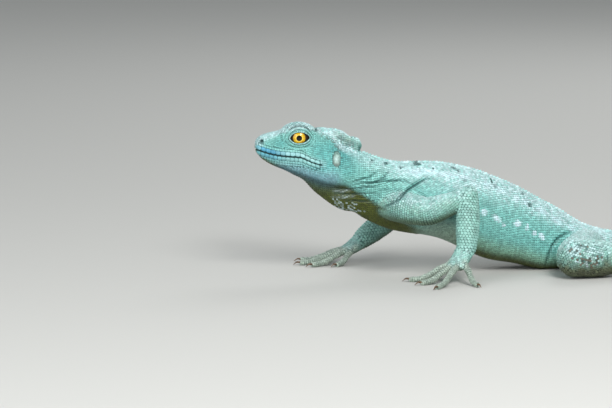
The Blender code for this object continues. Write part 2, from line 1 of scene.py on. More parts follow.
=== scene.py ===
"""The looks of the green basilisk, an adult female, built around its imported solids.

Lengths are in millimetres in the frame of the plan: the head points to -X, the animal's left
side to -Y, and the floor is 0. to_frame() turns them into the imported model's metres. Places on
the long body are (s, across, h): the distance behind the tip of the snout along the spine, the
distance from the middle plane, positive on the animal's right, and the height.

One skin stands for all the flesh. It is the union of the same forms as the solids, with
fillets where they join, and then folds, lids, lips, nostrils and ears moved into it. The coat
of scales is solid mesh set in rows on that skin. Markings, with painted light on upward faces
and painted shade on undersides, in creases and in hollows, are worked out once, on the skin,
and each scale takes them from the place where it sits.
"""

import itertools
import math

import bmesh
import bpy
import numpy as np
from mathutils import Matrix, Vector
from mathutils.bvhtree import BVHTree
from mathutils.kdtree import KDTree


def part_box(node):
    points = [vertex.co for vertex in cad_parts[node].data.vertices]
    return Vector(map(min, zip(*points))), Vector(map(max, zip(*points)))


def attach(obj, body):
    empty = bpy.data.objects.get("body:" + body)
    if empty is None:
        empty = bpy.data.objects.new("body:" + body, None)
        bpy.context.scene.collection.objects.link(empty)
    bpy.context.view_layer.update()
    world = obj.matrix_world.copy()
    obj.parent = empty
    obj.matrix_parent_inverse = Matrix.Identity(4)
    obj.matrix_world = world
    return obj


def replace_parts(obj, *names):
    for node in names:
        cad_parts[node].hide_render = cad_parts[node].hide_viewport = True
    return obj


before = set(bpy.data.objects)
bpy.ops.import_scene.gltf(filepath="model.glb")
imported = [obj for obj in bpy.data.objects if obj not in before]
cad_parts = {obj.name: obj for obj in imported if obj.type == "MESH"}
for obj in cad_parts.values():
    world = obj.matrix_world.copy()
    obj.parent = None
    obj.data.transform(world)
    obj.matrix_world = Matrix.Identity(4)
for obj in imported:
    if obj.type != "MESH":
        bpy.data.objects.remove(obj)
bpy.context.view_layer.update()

MM = 0.001
HEAD_END, NECK_END, TORSO_END, TAIL_END = 50, 76, 172, 625
FULL_TURN = 2 * math.pi
SIDES = (("left", -1), ("right", 1))

# Plan of the spine: the snout's place, and the way the spine runs, in degrees from +X
SNOUT = (-107.3, 12.4)
HEADING = [(0, -12), (46, -12), (72, 0), (172, 0), (250, 11), (330, 5), (430, -20), (540, -8), (625, 18)]

# Heights of the back and of the underside, and half of the width
BACK = [
    (0, 66.6), (0.5, 67.7), (3.2, 69.9), (11, 72), (22, 74.6), (29, 73.4), (41, 68), (46, 64.8), (52, 61.8),
    (73, 55.6), (88, 55.4), (112, 50.7), (120, 47.5), (131, 42.9), (148, 33.6), (154, 30.4), (170, 21),
    (184, 17.2), (200, 15.6), (400, 7), (625, 1.5),
]
UNDERSIDE = [
    (0, 64.6), (0.5, 61.8), (1.2, 60.3), (6.3, 56), (14, 52.6), (28, 47.2), (36, 44.6), (45, 43.2),
    (50, 40.5), (64, 30.5), (72, 24.5), (80, 20.2), (92, 17.2), (119, 5.4), (131, 3.2), (139, 1.2),
    (146, -0.35), (625, -0.25),
]
HALF_WIDTH = [
    (0, 1.3), (0.5, 2.6), (3.2, 4.9), (11, 7.2), (29, 11.3), (40, 12.5), (45, 11.9), (50, 10.6), (57, 9.8),
    (66, 10.6), (76, 13.4), (86, 15.2), (116, 17.2), (130, 16.6), (166, 11.6), (180, 9.2), (270, 5.4),
    (480, 2.1), (625, 0.7),
]
WIDEST = [
    (0, 0.5), (8, 0.42), (22, 0.38), (40, 0.34), (56, 0.5), (90, 0.45), (150, 0.4), (200, 0.46), (625, 0.5),
]
UPPER_FULLNESS = [
    (0, 2), (6, 2.7), (20, 2.7), (34, 2.2), (50, 1.9), (80, 1.75), (165, 1.7), (200, 1.7), (625, 1.9),
]
LOWER_FULLNESS = [(0, 2), (20, 2.1), (50, 2), (100, 2.1), (150, 2.5), (180, 2.3), (625, 2)]

# Swellings and hollows of the head: s, h, reach along, reach up, rise, and the share of the
# half-width inside which they fade out
LUMPS = [
    (37.0, 52.5, 7.0, 5.0, 1.0, 0.3), (12.0, 66.0, 4.0, 2.8, -0.7, 0.3), (33.5, 66.5, 4.5, 3.6, -0.8, 0.3),
    (7.0, 70.0, 5.0, 1.6, 0.5, 0.35),
]

# The mouth, eyes, nostrils and ears
MOUTH_LINE = [
    (-2, 63.6), (1.4, 62.8), (10.2, 60.6), (14.7, 60.1), (22.8, 59.7), (25.8, 58.6), (29.3, 57.2), (34, 55.9),
]
MOUTH_CORNER = 34
LIP_RADIUS, LIP_PROUD, LIP_OFFSET = 0.95, 0.4, 1.1
EYE_S, EYE_ACROSS, EYE_H = 22.2, 5.0, 69.3
EYE_RADII = (5.2, 4.2, 4.9)
LID_THICKNESS = 0.7
BROW_S, BROW_ACROSS, BROW_H = 21.6, 4.3, 69.5
BROW_RADII = (9.6, 4.8, 6.75)
NOSTRIL_S, NOSTRIL_H = 3.4, 67.3
EAR_S, EAR_H = 40.8, 59.0
EAR_RADII = (2.2, 3.8)

# The small crest on the back of the head
CREST_TOP = [
    (27, 73.2), (31, 73.8), (34.6, 73.8), (37.6, 73.6), (41.1, 73.1), (43.7, 72.2), (45.4, 71.1),
    (47.6, 69.5), (49.7, 69.4), (51.5, 68.8), (52.8, 67.2), (53.4, 65.2),
]
CREST_BOTTOM = [(27, 69), (40, 62), (47, 58.5), (50.5, 59.5), (52.0, 61.8), (53.0, 63.2), (53.4, 64.4)]
CREST_HALF = [(27, 1.0), (31, 2.6), (38, 3.6), (45, 3.0), (49, 2.2), (52, 1.9), (53.4, 0.8)]
CREST_LEAN = [(27, 0), (44, 0), (53.4, -1.3)]

# The loose throat
THROAT_BOTTOM = [
    (14, 52.8), (19, 50), (23.5, 47.8), (30.5, 40.8), (45, 31.8), (49.5, 31.2), (53, 28.8), (68, 22),
    (82, 19),
]
THROAT_HALF = [(14, 1.2), (19, 3.8), (27, 5.2), (40, 5.8), (56, 6.4), (72, 7.6), (82, 6.0)]
THROAT_RISE = 16

# Legs: where the path runs as (x, y, height), the radii along its three parts, the tips of the
# toes, their radius, and the side
UPPER_ARM_RADII = [(0, 7.6), (0.3, 7.4), (0.5, 7.0), (0.7, 6.0), (0.88, 4.8), (1, 4.4)]
FOREARM_RADII = [(0, 4.3), (0.25, 5.3), (0.5, 5.9), (0.75, 5.6), (1, 4.8)]
HAND_RADII = [(0, 4.4), (0.45, 5.2), (1, 5.4)]
THIGH_RADII = [(0, 8.6), (0.35, 9.4), (0.75, 9.6), (1, 9.3)]
SHIN_RADII = [(0, 8.6), (0.2, 9.0), (0.4, 8.4), (0.58, 6.4), (0.78, 4.6), (1, 4.0)]
FOOT_RADII = [(0, 4.0), (0.45, 5.0), (1, 5.6)]
ARM = (UPPER_ARM_RADII, FOREARM_RADII, HAND_RADII)
LEG = (THIGH_RADII, SHIN_RADII, FOOT_RADII)
FINGER_RADIUS, TOE_RADIUS = 1.55, 1.75
LIMBS = {
    "arm_left": (
        {"root": [(-41, -6, 35.2), (-36.2, -14, 34.4), (-27.5, -20.5, 33.6), (-17.4, -25, 36.9)],
         "bend": (-7.2, -29, 42.6), "end": (-9.6, -34, 16.5), "knuckles": (-16.5, -39, 8.4)},
        ARM, [(-26, -27), (-37.5, -31.5), (-34.5, -43), (-30, -56.5), (-9.5, -54)], FINGER_RADIUS, -1),
    "arm_right": (
        {"root": [(-41, 6, 35), (-38.8, 16, 33.4), (-31, 30, 29.5)],
         "bend": (-23.5, 38.5, 28), "end": (-46.5, 34.5, 12.5), "knuckles": (-55.5, 31.5, 7.0)},
        ARM, [(-63, 22), (-75, 24), (-79.5, 31.5), (-77, 41.5), (-64, 47)], FINGER_RADIUS, 1),
    "leg_left": (
        {"root": [(60, -8, 11.2)],
         "bend": (45, -38.5, 10.6), "end": (83, -33.5, 7.4), "knuckles": (79, -44, 4.4)},
        LEG, [(65, -49), (63.5, -61), (67.5, -72.5), (79, -81), (97, -52)], TOE_RADIUS, -1),
    "leg_right": (
        {"root": [(60, 8, 11.2)],
         "bend": (48.5, 39, 10.6), "end": (86.5, 34, 7.4), "knuckles": (84, 44.5, 4.4)},
        LEG, [(71.5, 51), (73, 62.5), (79, 73), (91, 80.5), (102.5, 50)], TOE_RADIUS, 1),
}
FOREARM_FLATNESS = 0.9
PALM_FLATNESS = [(0, 0.9), (0.5, 0.64), (1, 0.46)]
PALM_SHARE = 0.86
TOE_STARTS = (0.8, 0.45, 0.05, -0.35, -0.75)
TIP_SHARE, TIP_HEIGHT, TOE_ARCH = 0.8, 1.15, 1.6
CLAW_LENGTH, CLAW_RADIUS = 4.2, 0.8

# The skin lies this far inside the solids' forms
INSET = -0.15


def smooth(knots):
    """A function that runs through the knots and doesn't overshoot between them."""
    x, y = (np.array(column, float) for column in zip(*knots))
    slope = np.diff(y) / np.diff(x)
    before, after = slope[:-1], slope[1:]
    same_way = before * after > 0
    inner = np.where(same_way, 2 * before * after / np.where(same_way, before + after, 1), 0)
    tangent = np.concatenate([slope[:1], inner, slope[-1:]])

    def value(at):
        at = np.clip(at, x[0], x[-1])
        i = np.clip(np.searchsorted(x, at, side="right") - 1, 0, len(x) - 2)
        width = x[i + 1] - x[i]
        t = (at - x[i]) / width
        return (y[i] * (1 + 2 * t) * (1 - t) ** 2 + y[i + 1] * t * t * (3 - 2 * t)
                + width * t * (1 - t) * (tangent[i] * (1 - t) - tangent[i + 1] * t))

    return value


back, underside, half_width = smooth(BACK), smooth(UNDERSIDE), smooth(HALF_WIDTH)
widest, upper_fullness, lower_fullness = smooth(WIDEST), smooth(UPPER_FULLNESS), smooth(LOWER_FULLNESS)
heading, mouth_height = smooth(HEADING), smooth(MOUTH_LINE)
PLAN_STEP = 0.5
PLAN_S = np.arange(0, TAIL_END + 2, PLAN_STEP)
PLAN_TURN = np.radians(heading(PLAN_S + PLAN_STEP / 2))
PLAN_X = SNOUT[0] + np.concatenate([[0], np.cumsum(np.cos(PLAN_TURN))[:-1]]) * PLAN_STEP
PLAN_Y = SNOUT[1] + np.concatenate([[0], np.cumsum(np.sin(PLAN_TURN))[:-1]]) * PLAN_STEP


def spine_at(s):
    """The spine's plan place and direction, also before the snout."""
    turn = np.radians(heading(s))
    before = np.minimum(s, 0)
    x = np.interp(s, PLAN_S, PLAN_X) + before * np.cos(turn)
    y = np.interp(s, PLAN_S, PLAN_Y) + before * np.sin(turn)
    return x, y, turn


def place(s, across, h):
    """Points of the body in the plan's frame."""
    x, y, turn = spine_at(np.asarray(s, float))
    return np.stack(np.broadcast_arrays(x - across * np.sin(turn), y + across * np.cos(turn), h), -1)


def body_place(points):
    """The reverse of place: s, across and h of these points."""
    s = np.interp(points[:, 0], PLAN_X, PLAN_S)
    for _ in range(6):
        x, y, turn = spine_at(s)
        off_x, off_y = points[:, 0] - x, points[:, 1] - y
        s = np.clip(s + off_x * np.cos(turn) + off_y * np.sin(turn), -5, TAIL_END + 5)
    return s, off_y * np.cos(turn) - off_x * np.sin(turn), points[:, 2]


def fade(value, low, high):
    """0 below low, 1 above high, and a smooth step between them. low may be the larger one."""
    t = np.clip((value - low) / (high - low), 0, 1)
    return t * t * (3 - 2 * t)


def peak(off, width, power=2):
    """1 where off is 0, and falling to 0 over about this width on both sides."""
    return np.exp(-(off / width) ** power)


def unit(vectors):
    return vectors / np.maximum(np.linalg.norm(vectors, axis=-1), 1e-12)[..., None]


def run_of(points):
    """The distance run along a line at each of its points."""
    return np.concatenate([[0], np.cumsum(np.linalg.norm(np.diff(points, axis=0), axis=1))])


def kd_tree(points):
    tree = KDTree(len(points))
    for i, point in enumerate(points):
        tree.insert(point, i)
    tree.balance()
    return tree


OFFSET = np.array((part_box("eye_left")[0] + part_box("eye_left")[1]) / 2) - place(EYE_S, -EYE_ACROSS, EYE_H) * MM
OFFSET[2] = 0


def to_frame(points):
    """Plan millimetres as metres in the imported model's frame."""
    return np.asarray(points, float) * MM + OFFSET


def section(s, angle, grow=INSET):
    """Across and height on the long body's surface: on the right at 0 and on top at 90 degrees."""
    top, bottom, half = back(s), underside(s), half_width(s)
    middle = bottom + widest(s) * (top - bottom)
    upper = np.sin(angle) > 0
    power = 2 / np.where(upper, upper_fullness(s), lower_fullness(s))
    reach = np.where(upper, top - middle, middle - bottom)
    sideways, upward = (np.sign(wave) * np.abs(wave) ** power for wave in (np.cos(angle), np.sin(angle)))
    across, height = sideways * half, middle + upward * reach
    out_across, out_up = sideways * reach, upward * half
    size = np.maximum(np.hypot(out_across, out_up), 1e-9)
    rise = np.full(np.shape(across), float(grow))
    for lump_s, lump_h, along, up, amount, inner in LUMPS:
        near = ((s - lump_s) / along) ** 2 + ((height - lump_h) / up) ** 2
        edge = fade(np.abs(across) / half, inner, inner + 0.35)
        rise = rise + np.where(s < HEAD_END, amount * np.exp(-near) * edge, 0)
    return across + out_across / size * rise, height + out_up / size * rise


class Sheet:
    """A surface given by a function of the distance along it and the turn round it."""

    def __init__(self, at, length):
        self.at, self.length = at, length


def body_at(s, turn):
    return place(s, *section(s, turn))


def throat_at(s, turn):
    """The loose skin below the jaw and neck, narrow at its lower edge."""
    share = (1 + np.sin(turn)) / 2
    across = np.cos(turn) * smooth(THROAT_HALF)(s) * (0.62 + 0.5 * share)
    return place(s, across, smooth(THROAT_BOTTOM)(s) + share * THROAT_RISE)


def crest_at(s, turn):
    """The thin crest, whose rear lobe stands out over the nape."""
    low, high = smooth(CREST_BOTTOM)(s), smooth(CREST_TOP)(s)
    height = (high + low) / 2 + np.sin(turn) * (high - low) / 2
    share = (height - low) / (high - low)
    across = np.cos(turn) * smooth(CREST_HALF)(s) * (1.4 - 0.9 * share) + smooth(CREST_LEAN)(s) * share
    return place(s, across, height)


CAP_SHARE = 0.92


class Tube:
    """A tapered tube along a smooth path. radius and flatness are numbers or functions of the share of its
    length."""

    def __init__(self, points, radius, flatness=1.0, flat_way=(0, 0, 1), grow=0.0, tip=1.0, steps=80):
        points = np.array(points, float)
        self.tip = tip
        lengths = run_of(points)
        axes = [smooth(list(zip(lengths, points[:, i]))) for i in range(3)]
        self.length = float(lengths[-1])
        self.along = np.linspace(0, self.length, steps)
        ahead, behind, self.centre = (
            np.stack([axis(self.along + shift) for axis in axes], -1) for shift in (0.05, -0.05, 0))
        self.way = ahead - behind
        self.way /= np.linalg.norm(self.way, axis=1)[:, None]
        wide = np.cross(self.way[0], flat_way)
        wides = []
        for way in self.way:
            wide = wide - way * wide.dot(way)
            wide /= np.linalg.norm(wide)
            wides.append(wide)
        self.wide = np.array(wides)
        self.thick = np.cross(self.wide, self.way)
        share = self.along / self.length
        radii = radius(share) if callable(radius) else np.full(steps, float(radius))
        self.reach_wide = radii + grow
        self.reach_thick = radii * (flatness(share) if callable(flatness) else flatness) + grow

    def at(self, along, turn):
        """Points of the surface. Past the ends it closes to a round cap."""
        inside = np.clip(along, 0, self.length)

        def blend(values):
            if values.ndim == 1:
                return np.interp(inside, self.along, values)
            return np.stack([np.interp(inside, self.along, values[:, i]) for i in range(3)], -1)

        wide, thick = blend(self.reach_wide), blend(self.reach_thick)
        past = along - inside
        cap = wide * np.where(past > 0, self.tip, 1) * CAP_SHARE
        shrink = np.sqrt(1 - np.clip(np.abs(past) / cap, 0, 1) ** 2)
        centre = blend(self.centre) + blend(self.way) * past[..., None]
        side = blend(self.wide) * (np.cos(turn) * wide * shrink)[..., None]
        return centre + side + blend(self.thick) * (np.sin(turn) * thick * shrink)[..., None]

    def rings(self, spacing, sides):
        """Rings of points with round caps, as an array of rows, sides and coordinates."""
        round_off = np.sin(np.radians([86, 72, 56, 40, 24, 10]))
        start = -round_off * self.reach_wide[0] * CAP_SHARE
        end = self.length + round_off[::-1] * self.reach_wide[-1] * CAP_SHARE * self.tip
        middle = np.linspace(0, self.length, max(4, round(self.length / spacing)))
        along = np.concatenate([start, middle, end])[:, None]
        return self.at(along, FULL_TURN * (np.arange(sides) + 0.5) / sides)


def closed_rings(rings):
    """Points and faces of a closed loft through an array of rings."""
    rows, sides = rings.shape[:2]
    points = np.concatenate([rings.reshape(-1, 3), [rings[0].mean(axis=0), rings[-1].mean(axis=0)]])
    i, j = np.meshgrid(np.arange(rows - 1), np.arange(sides), indexing="ij")
    following = (j + 1) % sides
    here, ahead = i * sides, (i + 1) * sides
    quads = np.stack([here + j, here + following, ahead + following, ahead + j], -1)
    j, following = np.arange(sides), (np.arange(sides) + 1) % sides
    first, last = rows * sides, (rows - 1) * sides
    caps = np.concatenate([
        np.stack([following, j, np.full(sides, first)], -1),
        np.stack([last + j, last + following, np.full(sides, first + 1)], -1),
    ])
    return points, quads.reshape(-1, 4), caps


def mesh_of(name, points, *faces):
    """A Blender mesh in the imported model's frame from points in plan millimetres and arrays of faces."""
    mesh = bpy.data.meshes.new(name)
    mesh.vertices.add(len(points))
    mesh.vertices.foreach_set("co", to_frame(points).astype(np.float32).ravel())
    corners = np.concatenate([f.ravel() for f in faces]).astype(np.int32)
    sizes = np.concatenate([np.full(len(f), f.shape[1]) for f in faces])
    mesh.loops.add(len(corners))
    mesh.loops.foreach_set("vertex_index", corners)
    mesh.polygons.add(len(sizes))
    starts = np.concatenate([[0], np.cumsum(sizes)[:-1]]).astype(np.int32)
    mesh.polygons.foreach_set("loop_start", starts)
    mesh.update(calc_edges=True)
    return mesh


def add_object(name, mesh):
    made = bpy.data.objects.new(name, mesh)
    bpy.context.scene.collection.objects.link(made)
    return made


def add_piece(name, mesh, material, slot, *replaced):
    """A visible piece of the animal, and the solids that it stands for."""
    mesh.materials.append(material)
    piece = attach(add_object(name, mesh), "root")
    if replaced:
        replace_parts(piece, *replaced)
    return piece


def toe_path(limb, tip, start_share, side, width):
    """A toe from inside the palm, over a low arch, to its tip on the floor."""
    wrist, knuckles = np.array(limb["end"], float), np.array(limb["knuckles"], float)
    forward = (knuckles - wrist) / np.linalg.norm(knuckles - wrist)
    across = np.cross(forward, (0, 0, 1))
    across = across / np.linalg.norm(across) * -side
    root = knuckles + across * start_share * width - forward * (1.2 + 2.2 * abs(start_share))
    end = np.array((*tip, TIP_HEIGHT))
    first = root + (end - root) * 0.36
    first[2] = end[2] + (root[2] - end[2]) * 0.42 + TOE_ARCH
    last = root + (end - root) * 0.74
    last[2] = 1.9
    return np.array([root, first, last, end])


def toe_radius(radius):
    """A toe's radius along it, with its joints slightly thicker."""
    return lambda share: radius * (1 - (1 - TIP_SHARE) * share) * (1 + 0.07 * np.cos(share * 6 * math.pi))


def toe_paths(name):
    limb, radii, tips, _, side = LIMBS[name]
    width = radii[2][-1][1] * PALM_SHARE
    return [toe_path(limb, tip, share, side, width) for tip, share in zip(tips, TOE_STARTS)]


def limb_tubes(name):
    """The tubes of one leg: upper, lower, palm and toes."""
    limb, radii, _, radius, _ = LIMBS[name]
    upper, lower, palm = (smooth(knots) for knots in radii)
    flat, flat_way = FOREARM_FLATNESS if "arm" in name else 1.0, (0.6, -0.6, 0.5)
    start, end = np.array(limb["end"], float), np.array(limb["knuckles"], float)
    middle = (start + end) / 2 - (0, 0, 0.4)
    tubes = {
        "upper": Tube([*limb["root"], limb["bend"]], upper, 1.0, flat_way, INSET),
        "lower": Tube([limb["bend"], limb["end"]], lower, flat, flat_way, INSET),
        "palm": Tube([start, middle, end], palm, smooth(PALM_FLATNESS), grow=INSET, tip=0.4),
    }
    for number, path in enumerate(toe_paths(name), 1):
        tubes[f"toe{number}"] = Tube(path, toe_radius(radius), grow=INSET * 0.6)
    return tubes


def ellipsoid_rings(centre, radii, rows=24, sides=32):
    """Rings of an ellipsoid that is turned with the head, with its poles before and behind."""
    tilt = np.radians(np.linspace(-86, 86, rows))[:, None]
    turn = FULL_TURN * np.arange(sides) / sides
    along = np.sin(tilt) * radii[0] + 0 * turn
    across = np.cos(tilt) * np.cos(turn) * radii[1]
    up = np.cos(tilt) * np.sin(turn) * radii[2]
    way = math.radians(HEADING[0][1])
    x = along * math.cos(way) - across * math.sin(way)
    y = along * math.sin(way) + across * math.cos(way)
    return np.stack([x, y, up], -1) + centre


def lip_rings(offset):
    """The rim along one jaw, round the snout from one corner of the mouth to the other."""
    angles = np.linspace(-math.pi / 2, math.pi / 2, 181)

    def rim(s, side):
        height = float(mouth_height(s)) + offset
        across, heights = section(s, angles, 0.0)
        half = float(np.interp(height, heights, across))
        return place(s, side * (half + LIP_PROUD - LIP_RADIUS + INSET), height)

    stations = np.linspace(MOUTH_CORNER - 1, 2, 12)
    middle = place(0.9 if offset > 0 else 1.6, 0, float(mouth_height(0.9)) + offset)
    points = [rim(s, -1) for s in stations] + [middle] + [rim(s, 1) for s in stations[::-1]]
    return Tube(points, LIP_RADIUS, tip=0.5).rings(0.6, 12)


def skin_forms():
    """The closed forms whose union is the skin, by name."""
    stations = np.concatenate([[0, 0.2, 0.5, 0.9], np.arange(1.4, 180, 0.9), np.arange(180, TAIL_END, 2.5)])
    forms = {"body": body_at(stations[:, None], FULL_TURN * (np.arange(88) + 0.5) / 88)}
    for name, side in SIDES:
        forms[f"brow_{name}"] = ellipsoid_rings(
            place(BROW_S, side * BROW_ACROSS, BROW_H), [r + INSET for r in BROW_RADII])
        forms[f"lid_{name}"] = ellipsoid_rings(
            place(EYE_S, side * EYE_ACROSS, EYE_H), [r + LID_THICKNESS for r in EYE_RADII])
    forms["upper_lip"], forms["lower_lip"] = lip_rings(LIP_OFFSET), lip_rings(-LIP_OFFSET)
    stations = np.concatenate([np.linspace(27, 50, 50), np.linspace(50.3, 53.4, 14)])
    forms["crest"] = crest_at(stations[:, None], FULL_TURN * np.arange(28) / 28)
    forms["throat"] = throat_at(np.linspace(14, 82, 80)[:, None], FULL_TURN * np.arange(40) / 40)
    for limb in LIMBS:
        for part, tube in limb_tubes(limb).items():
            forms[f"{limb}_{part}"] = tube.rings(0.7, 18) if part.startswith("toe") else tube.rings(1.0, 40)
    return forms


def joined(parts):
    """Closed lofts, each as points, quads and caps, in one set, with each point's part."""
    groups, start = [], 0
    for number, (points, quads, caps) in enumerate(parts):
        groups.append((points, quads + start, caps + start, np.full(len(points), number)))
        start += len(points)
    return [np.concatenate(group) for group in zip(*groups)]


def remeshed(points, quads, caps, voxel):
    """The union of overlapping closed forms as even quads."""
    form = add_object("union", mesh_of("union", points, quads, caps))
    work = bmesh.new()
    work.from_mesh(form.data)
    bmesh.ops.recalc_face_normals(work, faces=work.faces)
    work.to_mesh(form.data)
    work.free()
    modifier = form.modifiers.new("even", "REMESH")
    modifier.mode = "VOXEL"
    modifier.voxel_size = voxel * MM
    mesh = bpy.data.meshes.new_from_object(form.evaluated_get(bpy.context.evaluated_depsgraph_get()))
    bpy.data.objects.remove(form)
    new_points, corners = np.zeros(len(mesh.vertices) * 3, np.float32), np.zeros(len(mesh.loops), np.int32)
    mesh.vertices.foreach_get("co", new_points)
    mesh.loops.foreach_get("vertex_index", corners)
    bpy.data.meshes.remove(mesh)
    return (new_points.reshape(-1, 3) - OFFSET) / MM, corners.reshape(-1, 4)


def edges_of(tris):
    """Each edge once, and the edges of each triangle."""
    pairs = np.sort(tris[:, [[0, 1], [1, 2], [2, 0]]].reshape(-1, 2), axis=1).astype(np.int64)
    size = int(tris.max()) + 1
    keys, which = np.unique(pairs[:, 0] * size + pairs[:, 1], return_inverse=True)
    return np.stack([keys // size, keys % size], -1), which.reshape(-1, 3)


# For each number of cut edges: where a triangle's corners are counted from, and the triangles
# that it becomes, with its corners as 0 to 2 and the middles of its edges as 3 to 5
SPLITS = (
    (1, lambda cut: np.argmax(cut, axis=1), ((0, 3, 2), (3, 1, 2))),
    (2, lambda cut: (np.argmin(cut, axis=1) + 1) % 3, ((3, 1, 4), (0, 3, 4), (0, 4, 2))),
    (3, lambda cut: np.zeros(len(cut), int), ((0, 3, 5), (3, 1, 4), (5, 4, 2), (3, 4, 5))),
)


def refined(points, tris, near, *values):
    """Splits the triangles where near is true in four, and fits their neighbours to them."""
    edges, which = edges_of(tris)
    cut = np.zeros(len(edges), bool)
    cut[which[near]] = True
    fresh = np.full(len(edges), -1)
    fresh[cut] = len(points) + np.arange(cut.sum())
    a, b = edges[cut].T
    points = np.concatenate([points, (points[a] + points[b]) / 2])
    values = [np.concatenate([value, value[a]]) for value in values]
    middles = fresh[which]
    count = (middles >= 0).sum(axis=1)
    new = [tris[count == 0]]
    for number, first, triangles in SPLITS:
        corners, mids = tris[count == number], middles[count == number]
        order = (first(mids >= 0)[:, None] + np.arange(3)) % 3
        six = np.concatenate([np.take_along_axis(part, order, 1) for part in (corners, mids)], 1)
        new += [six[:, list(triangle)] for triangle in triangles]
    return points, np.concatenate(new), *values


def summed(index, values, size):
    """The sums of rows of values for each index."""
    return np.stack([np.bincount(index, values[:, i], size) for i in range(values.shape[1])], -1)


def normals_of(points, tris):
    a, b, c = points[tris].transpose(1, 0, 2)
    normal = np.cross(b - a, c - a)
    return unit(sum(summed(tris[:, i], normal, len(points)) for i in range(3)))


def neighbour_mean(values, edges):
    """The mean of each point's neighbours."""
    a, b = edges.T
    total = summed(a, values[b], len(values)) + summed(b, values[a], len(values))
    count = np.bincount(a, minlength=len(values)) + np.bincount(b, minlength=len(values))
    return total / np.maximum(count, 1)[:, None]


def softened(points, edges, rounds, weight=1.0):
    """Points after rounds of smoothing, which moves each half way to its neighbours' mean."""
    for _ in range(rounds):
        points = points + (neighbour_mean(points, edges) - points) * (0.5 * np.asarray(weight))[..., None]
    return points


def filled(points, tris, edges, rounds, weight):
    """Points after rounds of smoothing in hollows alone, which makes fillets where forms meet."""
    for turn in range(rounds):
        if turn % 4 == 0:
            normals = normals_of(points, tris)
        move = neighbour_mean(points, edges) - points
        points = points + move * (0.5 * weight * ((move * normals).sum(axis=1) > 0))[:, None]
    return points


def distance_to_line(x, y, line):
    """How far points of a plane are from a line through a few points, and the share of its length there."""
    line = np.array(line, float)
    spans, starts = np.linalg.norm(np.diff(line, axis=0), axis=1), run_of(line)
    best, share = np.full(len(x), 1e9), np.zeros(len(x))
    for a, b, span, start in zip(line, line[1:], spans, starts):
        t = np.clip(((x - a[0]) * (b[0] - a[0]) + (y - a[1]) * (b[1] - a[1])) / span ** 2, 0, 1)
        away = np.hypot(x - a[0] - t * (b[0] - a[0]), y - a[1] - t * (b[1] - a[1]))
        share = np.where(away < best, (start + t * span) / starts[-1], share)
        best = np.minimum(best, away)
    return best, share


def middle_swell(share):
    """1 in the middle of a line, and 0 at its ends."""
    return np.sin(np.clip(share, 0, 1) * math.pi) ** 0.5


def ripple(points, length, seed):
    """Smooth unevenness from -1 to 1, with features about this long."""
    rng = np.random.default_rng(seed)
    total = np.zeros(len(points))
    for _ in range(7):
        way = rng.normal(size=3)
        way *= FULL_TURN / length / np.linalg.norm(way) * rng.uniform(0.6, 1.5)
        total += np.sin(points @ way + rng.uniform(0, 6.28))
    return np.clip(total / 3.2, -1, 1)


# The opening between the lids, from the middle of the iris, and its tilt
OPENING_FRONT, OPENING_REAR, OPENING_UP, OPENING_DOWN = 4.5, 5.1, 2.85, 2.5
OPENING_TILT = math.radians(2)


def opening_line(count=96):
    """The edge of the lids as points (s, h) from the middle of the iris, against the clock."""
    turn = FULL_TURN * np.arange(count) / count
    along = np.cos(turn)
    up = np.sin(turn) * (1 - 0.32 * along ** 4)
    along = along * np.where(along > 0, OPENING_REAR, OPENING_FRONT)
    up = up * np.where(up > 0, OPENING_UP, OPENING_DOWN)
    cos, sin = math.cos(OPENING_TILT), math.sin(OPENING_TILT)
    return np.stack([along * cos - up * sin, along * sin + up * cos], -1)


def lid_distance(s, h):
    """How far a place is outside the opening of the lids, and the direction to it."""
    along, up = s - EYE_S, h - EYE_H
    line = opening_line()
    away, _ = distance_to_line(along, up, np.concatenate([line, line[:1]]))
    turn, edge_turn = np.arctan2(up, along), np.arctan2(line[:, 1], line[:, 0])
    order = np.argsort(edge_turn)
    reach = np.interp(turn, edge_turn[order], np.hypot(*line.T)[order], period=FULL_TURN)
    return np.where(np.hypot(along, up) < reach, -away, away), turn


def lid_grooves(turn):
    """How far the two grooves round the eye are from the opening in each direction."""
    level, upright = np.cos(turn) ** 2, np.sin(turn) ** 2
    inner = 0.9 * level + (1.2 + 0.3 * np.sin(turn)) * upright
    return inner, (2.35 - 0.45 * np.cos(turn)) * level + (2.5 + 0.5 * np.sin(turn)) * upright


def outer_depth(turn):
    """How deep the outer groove is in each direction: deepest under the brow, gone in front of the eye."""
    above, below = fade(np.sin(turn), 0.15, 0.7), fade(-np.sin(turn), 0.2, 0.8)
    front = fade(-np.cos(turn), 0.75, 0.98)
    return np.clip(0.25 + 0.75 * above + 0.35 * below, 0, 1) * (1 - front)


def ear_share(s, h):
    """How far a place is from the middle of the ear, as a share of the ear's radius."""
    return np.hypot((s - EAR_S) / EAR_RADII[0], (h - EAR_H) / EAR_RADII[1])


